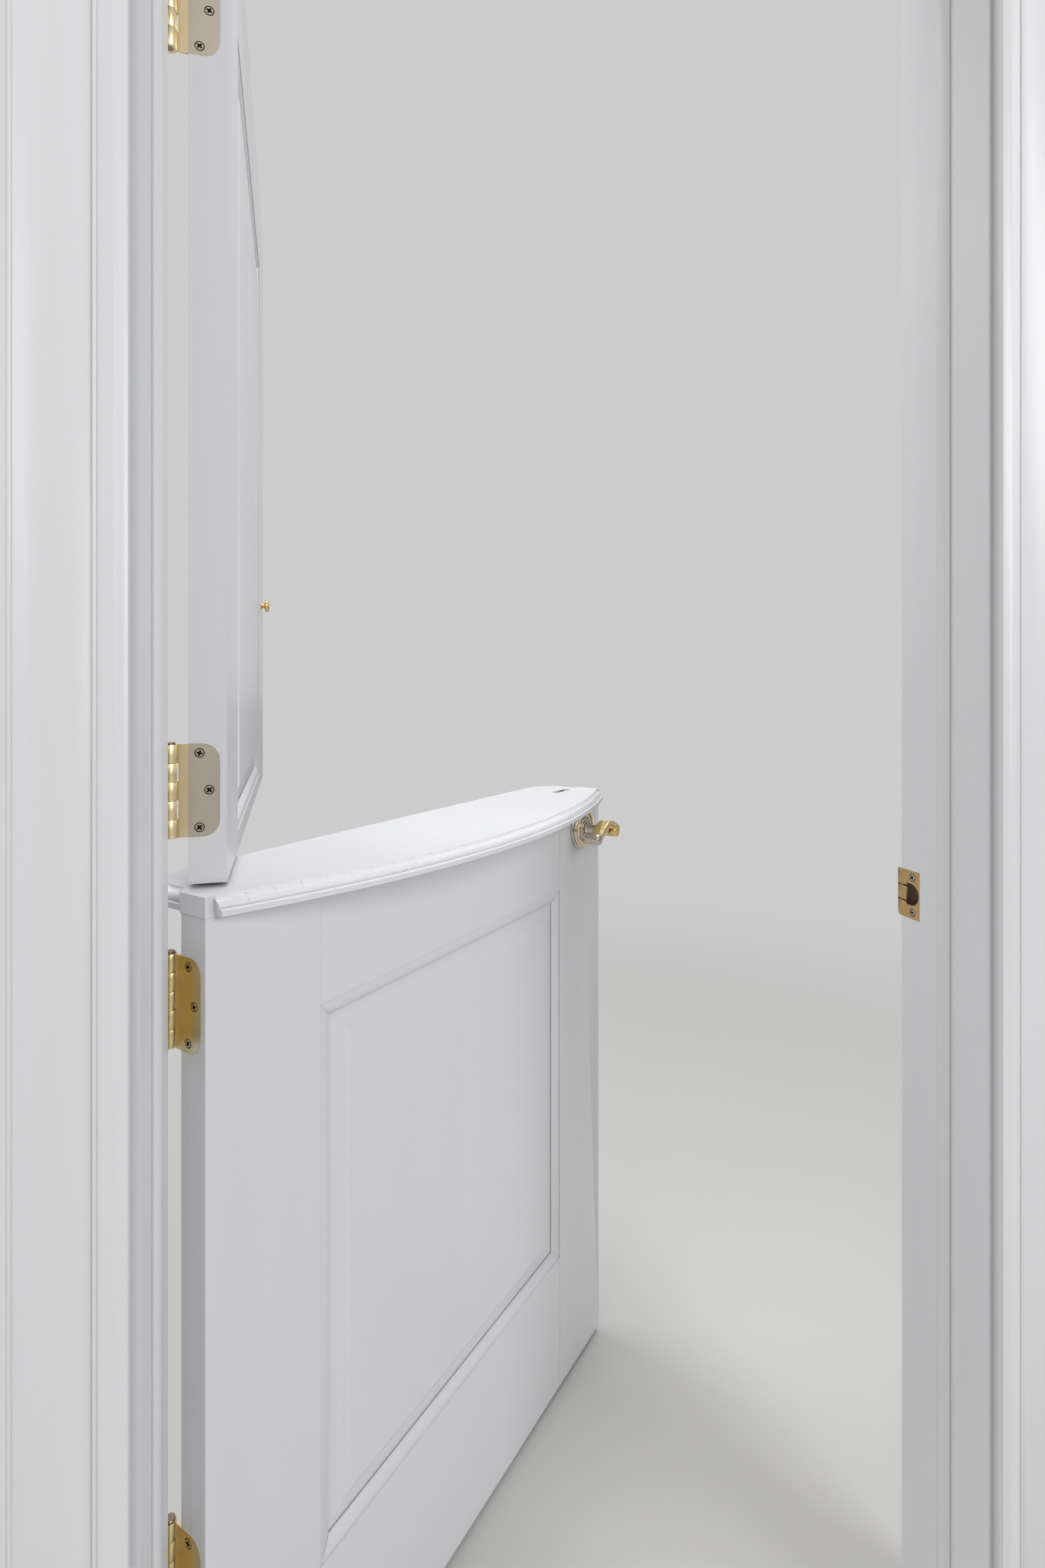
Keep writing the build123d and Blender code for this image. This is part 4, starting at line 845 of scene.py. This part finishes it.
# %% Twisted rope
ROPE_SECTION = 18
OUT = Vector((0, 0, 1))


def rope(path, radius, lobes, turns_in_all, relief, closed=False):
    """A twisted rope along a path of points that lie in one plane, across the way out."""
    rings = []
    for i, here in enumerate(path):
        before = path[i - 1] if closed or i else here
        after = path[(i + 1) % len(path)] if closed or i < len(path) - 1 else here
        across = OUT.cross((after - before).normalized())
        twist = math.tau * lobes * turns_in_all * (i / len(path))
        ring = []
        for a in angles_round(ROPE_SECTION):
            swell = radius * (1 + relief * math.cos(lobes * a - twist))
            ring.append(here + (across * math.cos(a) + OUT * math.sin(a)) * swell)
        rings.append(ring)
    return loft(rings, closed)


print("a rope's section has", ROPE_SECTION, "points")

# %% [markdown]
# ## Roses with a rope
# Each rose is a turned disc: a broad base, a second step, a shallow dish, and a boss round the
# neck of the lever. Its outline is one closed line of (height off the leaf, radius) that is
# turned round the spindle, with the bore left open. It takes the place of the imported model's
# rose, which is a little smaller than the photographed one. The rope lies on the second step.
# The number of its whole turns is chosen so that it meets itself, and the grooves lie about
# 3 mm apart as on real ones.

# %% Roses on both sides
LATCH_X, LATCH_Z = 754.5, 910.0
HALL_FACE, ROOM_FACE = 27.0, 62.0
OUT_OF_LEAF = {"hall": (HALL_FACE, -1), "room": (ROOM_FACE, 1)}
ROSE_BASE = [(0, 8.3), (0, 35), (2.4, 35), (3.4, 34.7), (4.0, 34), (4.3, 33.1), (4.4, 32.3), (4.9, 32.1)]
ROSE_STEP = [(5.4, 32.7), (6.1, 32.9), (6.8, 32.6), (7.3, 31.8), (8.4, 31.6), (9.1, 31.1), (9.4, 30.4)]
ROSE_DISH = [(9.4, 25.4), (8.7, 24.7), (8.1, 22.5), (7.9, 18.5), (8.1, 15), (8.6, 13.4), (9.1, 12.9)]
ROSE_BOSS = [(11.1, 12.9), (11.7, 12.6), (12.0, 11.9), (12.0, 8.3)]
ROSE_SIDES = 96
ROSE_ROPE_R = 27.9
ROSE_ROPE_OUT = 9.9
ROSE_ROPE_STEPS = 432


def on_leaf(side_name):
    """Takes (along the leaf, up, out of the leaf) at the spindle to its place at rest."""
    face, outward = OUT_OF_LEAF[side_name]
    axes = Matrix(((1, 0, 0, LATCH_X), (0, 0, outward, face), (0, 1, 0, LATCH_Z), (0, 0, 0, 1)))
    return LEAF_TO_REST @ axes


circle = []
for a in angles_round(ROSE_ROPE_STEPS):
    circle.append(Vector((ROSE_ROPE_R * math.cos(a), ROSE_ROPE_R * math.sin(a), ROSE_ROPE_OUT)))
rose_rope = rope(circle, radius=2.4, lobes=3, turns_in_all=18, relief=0.18, closed=True)
rose = turned(ROSE_BASE + ROSE_STEP + ROSE_DISH + ROSE_BOSS, ROSE_SIDES, True)
for side_name in OUT_OF_LEAF:
    for part_name, shape, finish, sharp in (
        ("turned", rose, warm_nickel, 50),
        ("rope", rose_rope, rope_brass, 60),
    ):
        name = side_name + "_rose_" + part_name
        placed = moved(shape, on_leaf(side_name))
        piece = new_piece(name, placed, (finish,), "lower_leaf", sharp)
        if part_name == "turned":
            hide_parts(side_name + "_rose")
        print(name, "has", len(piece.data.polygons), "faces")

# %% [markdown]
# ## The wave of the lever
# The levers are cast as a wavy ribbon on a waisted neck. The ribbon rises from a rolled tail,
# crests beside the neck and runs down to a rolled tip. Its wave could be a row of arcs, but
# then each joint between them has to be made smooth. A Catmull-Rom curve is smooth by itself
# and passes through every point it is given, so eight points draw the whole wave.

# %% One smooth curve
WAVE = [(23, -4), (18, 2), (7, 7.5), (-8, 12.3), (-19, 10), (-29, 5), (-39, -1), (-48, -6)]
WAVE_STEPS = 14


def smooth_curve(points, steps):
    """Points of a Catmull-Rom curve through the given ones, with its ends carried on."""
    known = [Vector((*p, 0)) for p in points]
    known = [2 * known[0] - known[1]] + known + [2 * known[-1] - known[-2]]
    curve = []
    for i in range(1, len(known) - 2):
        a, b, c, d = known[i - 1 : i + 3]
        linear = c - a
        square = 2 * a - 5 * b + 4 * c - d
        cube = 3 * b - a - 3 * c + d
        for k in range(steps):
            t = k / steps
            curve.append((2 * b + linear * t + square * t**2 + cube * t**3) / 2)
    return curve + [known[-2]]


def ups(curve):
    """The upward direction across the curve at each of its points."""
    found = []
    for i in range(len(curve)):
        tangent = (curve[min(i + 1, len(curve) - 1)] - curve[max(i - 1, 0)]).normalized()
        found.append(Vector((tangent.y, -tangent.x, 0)))
    return found


wave = smooth_curve(WAVE, WAVE_STEPS)
print("the wave is", round(sum((b - a).length for a, b in zip(wave, wave[1:]))), "mm long")

# %% [markdown]
# ## The ribbon
# A section with rounded corners is carried along the wave, a little thicker in the middle. Its
# front is slightly hollow, which draws a long highlight. A line just inside its upper front
# edge is kept for the fine rope, and stops short of both rolls.

# %% Ribbon along the wave
BAND_BACK, BAND_FRONT = 42.0, 62.0
BAND_HALF = 5.2
BAND_SWELL = 0.7
CORNER = 2.4
CORNER_SPANS = 4
HOLLOW = 0.8
HOLLOW_SPANS = 8
ROPE_FROM, ROPE_TO = 0.1, 0.97
ROPE_DOWN = 0.5
ROPE_BEHIND = 0.7


def corner_arc(up, out, start):
    """A quarter round about (up, out), from its start angle on."""
    turns_of_arc = [math.radians(start + 90 * k / CORNER_SPANS) for k in range(CORNER_SPANS + 1)]
    return [(up + CORNER * math.cos(a), out + CORNER * math.sin(a)) for a in turns_of_arc]


def band_section(half):
    """A rounded section (up, out) for the ribbon, with a hollow front."""
    low, high = BAND_BACK + CORNER, BAND_FRONT - CORNER
    reach = half - CORNER
    front = []
    for k in range(1, HOLLOW_SPANS):
        share = 1 - 2 * k / HOLLOW_SPANS
        front.append((reach * share, BAND_FRONT - HOLLOW * (1 - share**2)))
    upper = corner_arc(reach, low, -90) + corner_arc(reach, high, 0)
    lower = corner_arc(-reach, high, 90) + corner_arc(-reach, low, 180)
    return upper + front + lower


rings = []
edge_line = []
for i, (here, up) in enumerate(zip(wave, ups(wave))):
    share = i / (len(wave) - 1)
    half = BAND_HALF + BAND_SWELL * math.sin(math.pi * share)
    rings.append([here + up * rise + OUT * out for rise, out in band_section(half)])
    if ROPE_FROM < share < ROPE_TO:
        edge_line.append(here + up * (half - ROPE_DOWN) + OUT * (BAND_FRONT - ROPE_BEHIND))
band = loft(rings)
edge_rope = rope(edge_line, radius=1.55, lobes=3, turns_in_all=9, relief=0.22)
print("faces of the ribbon:", len(band[1]), "of its rope:", len(edge_rope[1]))

# %% [markdown]
# ## Rolled ends
# On the real lever both ends curl into a roll, which shows a spiral on its faces. Here a roll
# is a disc on a polar grid. The height of each point of the face falls where it comes near the
# spiral line, which cuts a groove with soft walls, and the rim of the face is rounded off.

# %% Rolls
ROLL_AROUND = 72
ROLL_RINGS = 22
INNERMOST = 0.001
ROLL_PROUD = 0.5
RIM_FROM = 0.7
RIM_DROP = 1.8
RIM_LEVEL = 0.84
SPIRAL_START, SPIRAL_STEP = 0.42, 0.36
SPIRAL_FROM, SPIRAL_TO = 0.15, 0.9
GROOVE_HALF = 0.55
GROOVE_DEPTH = 0.8
TIP_CENTRE, TIP_ROLL_R, TIP_BACK = (-49.5, -5.3), 8.9, BAND_BACK - 5
TAIL_CENTRE, TAIL_ROLL_R = (16.5, -2.5), 9.8


def spiral_cut(r, angle, radius):
    """How deep the spiral groove is at a point of a roll's face."""
    deepest = 0.0
    for lap in range(-1, 2):
        line = radius * (SPIRAL_START + SPIRAL_STEP * (angle / math.tau + lap))
        if SPIRAL_FROM * radius < line < SPIRAL_TO * radius:
            deepest = max(deepest, math.exp(-(((r - line) / GROOVE_HALF) ** 2)))
    return GROOVE_DEPTH * deepest


def roll(centre, radius, back):
    """A roll of the ribbon: a disc with rounded edges and a spiral cut in each face."""
    middle = (back + BAND_FRONT) / 2
    half = (BAND_FRONT - back) / 2 + ROLL_PROUD
    shares = [INNERMOST] + [k / ROLL_RINGS for k in range(1, ROLL_RINGS)]

    def row(share, height_at):
        r = radius * share
        points = []
        for a in angles_round(ROLL_AROUND):
            points.append(Vector((centre[0] + r * math.cos(a), centre[1] + r * math.sin(a), height_at(a))))
        return points

    def face_row(share, face):
        past_rim = max(0.0, (share - RIM_FROM) / (1 - RIM_FROM))
        drop = RIM_DROP * (1 - (1 - past_rim**2) ** 0.5)
        return row(share, lambda a: middle + face * (half - drop - spiral_cut(radius * share, a, radius)))

    rows = [face_row(share, -1) for share in shares]
    rows += [row(1, lambda a, level=level: middle + level * half) for level in (-RIM_LEVEL, RIM_LEVEL)]
    rows += [face_row(share, 1) for share in reversed(shares)]
    return loft(rows)


tip_roll = roll(TIP_CENTRE, TIP_ROLL_R, TIP_BACK)
tail_roll = roll(TAIL_CENTRE, TAIL_ROLL_R, BAND_BACK)
print("faces of one roll:", len(tip_roll[1]))

# %% [markdown]
# ## Neck and grub screw
# The neck is turned in one piece, with a bead where it leaves the rose and a waist that opens
# into a round cap under the ribbon. A grub screw holds a lever of this kind on its spindle. It
# is drawn as a small turned cup, and lies in the side of the tail's roll.

# %% Neck and grub screw
NECK_FOOT = [(1.0, 0.05), (1.0, 8.0), (12.3, 8.0)]
NECK_BEAD = [(12.3, 9.2), (12.6, 9.7), (13.3, 9.95), (14.0, 9.7), (14.5, 9.1)]
NECK_WAIST = [(16, 8.6), (19, 8.05), (23, 7.7), (27, 7.6), (31, 7.75), (35, 8.15), (39, 8.8), (42, 9.4)]
NECK_CAP = [(44.5, 9.75), (47, 9.6), (49.5, 8.6), (51.5, 6.6), (53, 3.5), (53.5, 0.05)]
GRUB_LINE = [(9.0, 0.05), (9.0, 1.3), (10.0, 1.3), (10.2, 1.7), (10.2, 2.1), (9.6, 2.3), (9.0, 2.3)]
GRUB_SIDES = 24
GRUB_OUT = 57
GRUB_TURN = math.radians(195)

neck = turned(NECK_FOOT + NECK_BEAD + NECK_WAIST + NECK_CAP)
grub_aim = Matrix.Rotation(GRUB_TURN, 4, "Z") @ Matrix.Rotation(math.radians(90), 4, "Y")
grub_place = Matrix.Translation((*TAIL_CENTRE, GRUB_OUT)) @ grub_aim
grub_screw = moved(turned(GRUB_LINE, GRUB_SIDES), grub_place)
print("faces of the neck:", len(neck[1]), "of the grub screw:", len(grub_screw[1]))

# %% [markdown]
# ## Levers on both sides
# The hall and the room have the same lever, mirrored through the leaf, so one set of shapes serves both.
# The ribbon and its tail are lacquered gold, and the tip is the paler metal of the neck. All of it rides
# on the handle's body and turns with the spindle.
# The ribbon takes the place of the imported model's lever, which is longer than the photographed
# one.

# %% Levers on both sides
LEVER_PARTS = (
    ("neck", neck, warm_nickel),
    ("ribbon", joined([band, tail_roll]), polished_brass),
    ("rope", edge_rope, rope_brass),
    ("tip", tip_roll, warm_nickel),
    ("grub_screw", grub_screw, screw_steel),
)

for side_name in OUT_OF_LEAF:
    for part_name, shape, finish in LEVER_PARTS:
        name = side_name + "_lever_" + part_name
        placed = moved(shape, on_leaf(side_name))
        piece = new_piece(name, placed, (finish,), "handle", 40)
        if part_name == "ribbon":
            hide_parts(side_name + "_lever")
        print(name, "has", len(piece.data.polygons), "faces")

# %% [markdown]
# ## Painted joint under the shelf
# The shelf is glued to the top of the lower leaf, and paint has filled the joint into a thin
# round line that catches the light. It is a loft of a small round section round the four sides
# of the leaf. At each corner the section is turned halfway and widened, as in a mitre, so the
# line keeps its thickness.

# %% Painted joint
JOINT_R = 1.2
JOINT_Z = 950.0
JOINT_SIDES = 12
LEAF_START, LEAF_END = 11.5, 824.5
LEAF_CORNERS = (
    (LEAF_START, HALL_FACE, Vector((-1, -1, 0))),
    (LEAF_END, HALL_FACE, Vector((1, -1, 0))),
    (LEAF_END, ROOM_FACE, Vector((1, 1, 0))),
    (LEAF_START, ROOM_FACE, Vector((-1, 1, 0))),
)

rings = []
for x, y, outward in LEAF_CORNERS:
    ring = []
    for a in angles_round(JOINT_SIDES):
        ring.append(Vector((x, y, JOINT_Z)) + JOINT_R * (outward * math.cos(a) + OUT * math.sin(a)))
    rings.append(ring)
bead = moved(loft(rings, closed=True), LEAF_TO_REST)
joint = new_piece("shelf_joint", bead, (paint_lower,), "lower_leaf", 50)
print(joint.name, "has", len(joint.data.polygons), "faces")

# %% [markdown]
# ## Floor
# The door stands on a plain pale floor, as in a photographer's studio. The floor runs far out,
# and for the camera it fades into the backdrop with distance, so that no horizon shows. Only
# the camera's own rays see the fade, so the floor goes on giving its light to the door.

# %% Floor
FLOOR_REACH = 40
FLOOR_TONES = (0.60, 0.595, 0.58, 1), (0.64, 0.635, 0.62, 1)
BACKDROP = (0.60, 0.605, 0.60, 1)
FADE_FROM, FADE_TO = 1.1, 3.8

floor_mesh = bpy.data.meshes.new("floor")
corners = [(x * FLOOR_REACH, y * FLOOR_REACH, 0) for x, y in ((-1, -1), (1, -1), (1, 1), (-1, 1))]
floor_mesh.from_pydata(corners, [], [(0, 1, 2, 3)])
floor = bpy.data.objects.new("floor", floor_mesh)
scene.collection.objects.link(floor)

floor_material, tree, shader = blank_material("pale_floor")
speckle = shader_node(tree, "TexNoise", {"Scale": 6.0, "Detail": 4.0})
tree.links.new(mix_colours(tree, speckle.outputs[0], *FLOOR_TONES), shader.inputs["Base Color"])
shader.inputs["Roughness"].default_value = 0.7
distance = shader_node(tree, "VectorMath", {0: places(tree)}, operation="LENGTH").outputs["Value"]
fade = {"Value": distance, "From Min": FADE_FROM, "From Max": FADE_TO}
far = shader_node(tree, "MapRange", fade, interpolation_type="SMOOTHSTEP").outputs["Result"]
camera_ray = shader_node(tree, "LightPath").outputs["Is Camera Ray"]
seen_far = worked_out(tree, "MULTIPLY", far, camera_ray)
beyond = shader_node(tree, "Emission", {"Color": BACKDROP, "Strength": 1.0})
blend = shader_node(tree, "MixShader", {0: seen_far, 1: shader.outputs[0], 2: beyond.outputs[0]})
tree.links.new(blend.outputs[0], tree.nodes["Material Output"].inputs["Surface"])
floor_mesh.materials.append(floor_material)
print("floor made, pale grey, fading from", FADE_FROM, "to", FADE_TO, "m")

# %% [markdown]
# ## World
# The world gives a weak even light from all sides, so that the lamps draw the mouldings. What
# the camera and the mirrors see of it is the backdrop, a pale grey from which the white
# woodwork stands out. Light Path tells the two kinds of rays apart.

# %% World
AMBIENT = 0.28

world = bpy.data.worlds.new("studio")
scene.world = world
world.use_nodes = True
sky = world.node_tree
sky.nodes.clear()
rays = shader_node(sky, "LightPath").outputs
seen = worked_out(sky, "MAXIMUM", rays["Is Camera Ray"], rays["Is Glossy Ray"])
seen = worked_out(sky, "MAXIMUM", seen, rays["Is Transmission Ray"])
light = shader_node(sky, "Background", {"Color": (1.0, 1.0, 1.0, 1), "Strength": AMBIENT})
backdrop = shader_node(sky, "Background", {"Color": BACKDROP, "Strength": 1.0})
either = shader_node(sky, "MixShader", {0: seen, 1: light.outputs[0], 2: backdrop.outputs[0]})
sky_out = sky.nodes.new("ShaderNodeOutputWorld")
sky.links.new(either.outputs[0], sky_out.inputs["Surface"])
print("world made, even light", AMBIENT)

# %% [markdown]
# ## Lamps
# Four large soft lamps do the rest. The one in the hall, high on the right, lights the lower
# leaf and the hinge jamb. A weaker, warmer one on the left keeps the strike jamb from going
# dark, and a third one lights the room side. The strongest hangs overhead, and makes the
# shelf's top the brightest face of the door, as it is in the photograph.

# %% Lamps
LAMPS = {
    "hall_lamp": ((2.2, -2.9, 2.6), (0.4, 0.2, 1.0), (1.8, 1.8), 66, (0.97, 0.98, 1.0)),
    "hall_fill": ((-2.2, -2.6, 2.2), (0.5, 0.2, 1.0), (1.8, 1.8), 30, (1.0, 0.94, 0.89)),
    "room_lamp": ((-2.4, 2.8, 2.6), (0.4, 0.3, 1.1), (2.4, 2.2), 50, (0.98, 0.99, 1.0)),
    "overhead_lamp": ((0.5, 0.6, 4.2), (0.5, 0.5, 0.9), (1.8, 1.8), 76, (1.0, 1.0, 1.0)),
}


def soft_lamp(name, place, aim, size, power, colour):
    """A rectangular soft lamp that faces its aim. size is its width and height."""
    lamp = bpy.data.lights.new(name, "AREA")
    lamp.shape = "RECTANGLE"
    lamp.size, lamp.size_y = size
    lamp.energy = power
    lamp.color = colour
    holder = bpy.data.objects.new(name, lamp)
    scene.collection.objects.link(holder)
    holder.location = place
    holder.rotation_euler = (Vector(aim) - Vector(place)).to_track_quat("-Z", "Y").to_euler()


for name, settings in LAMPS.items():
    soft_lamp(name, *settings)
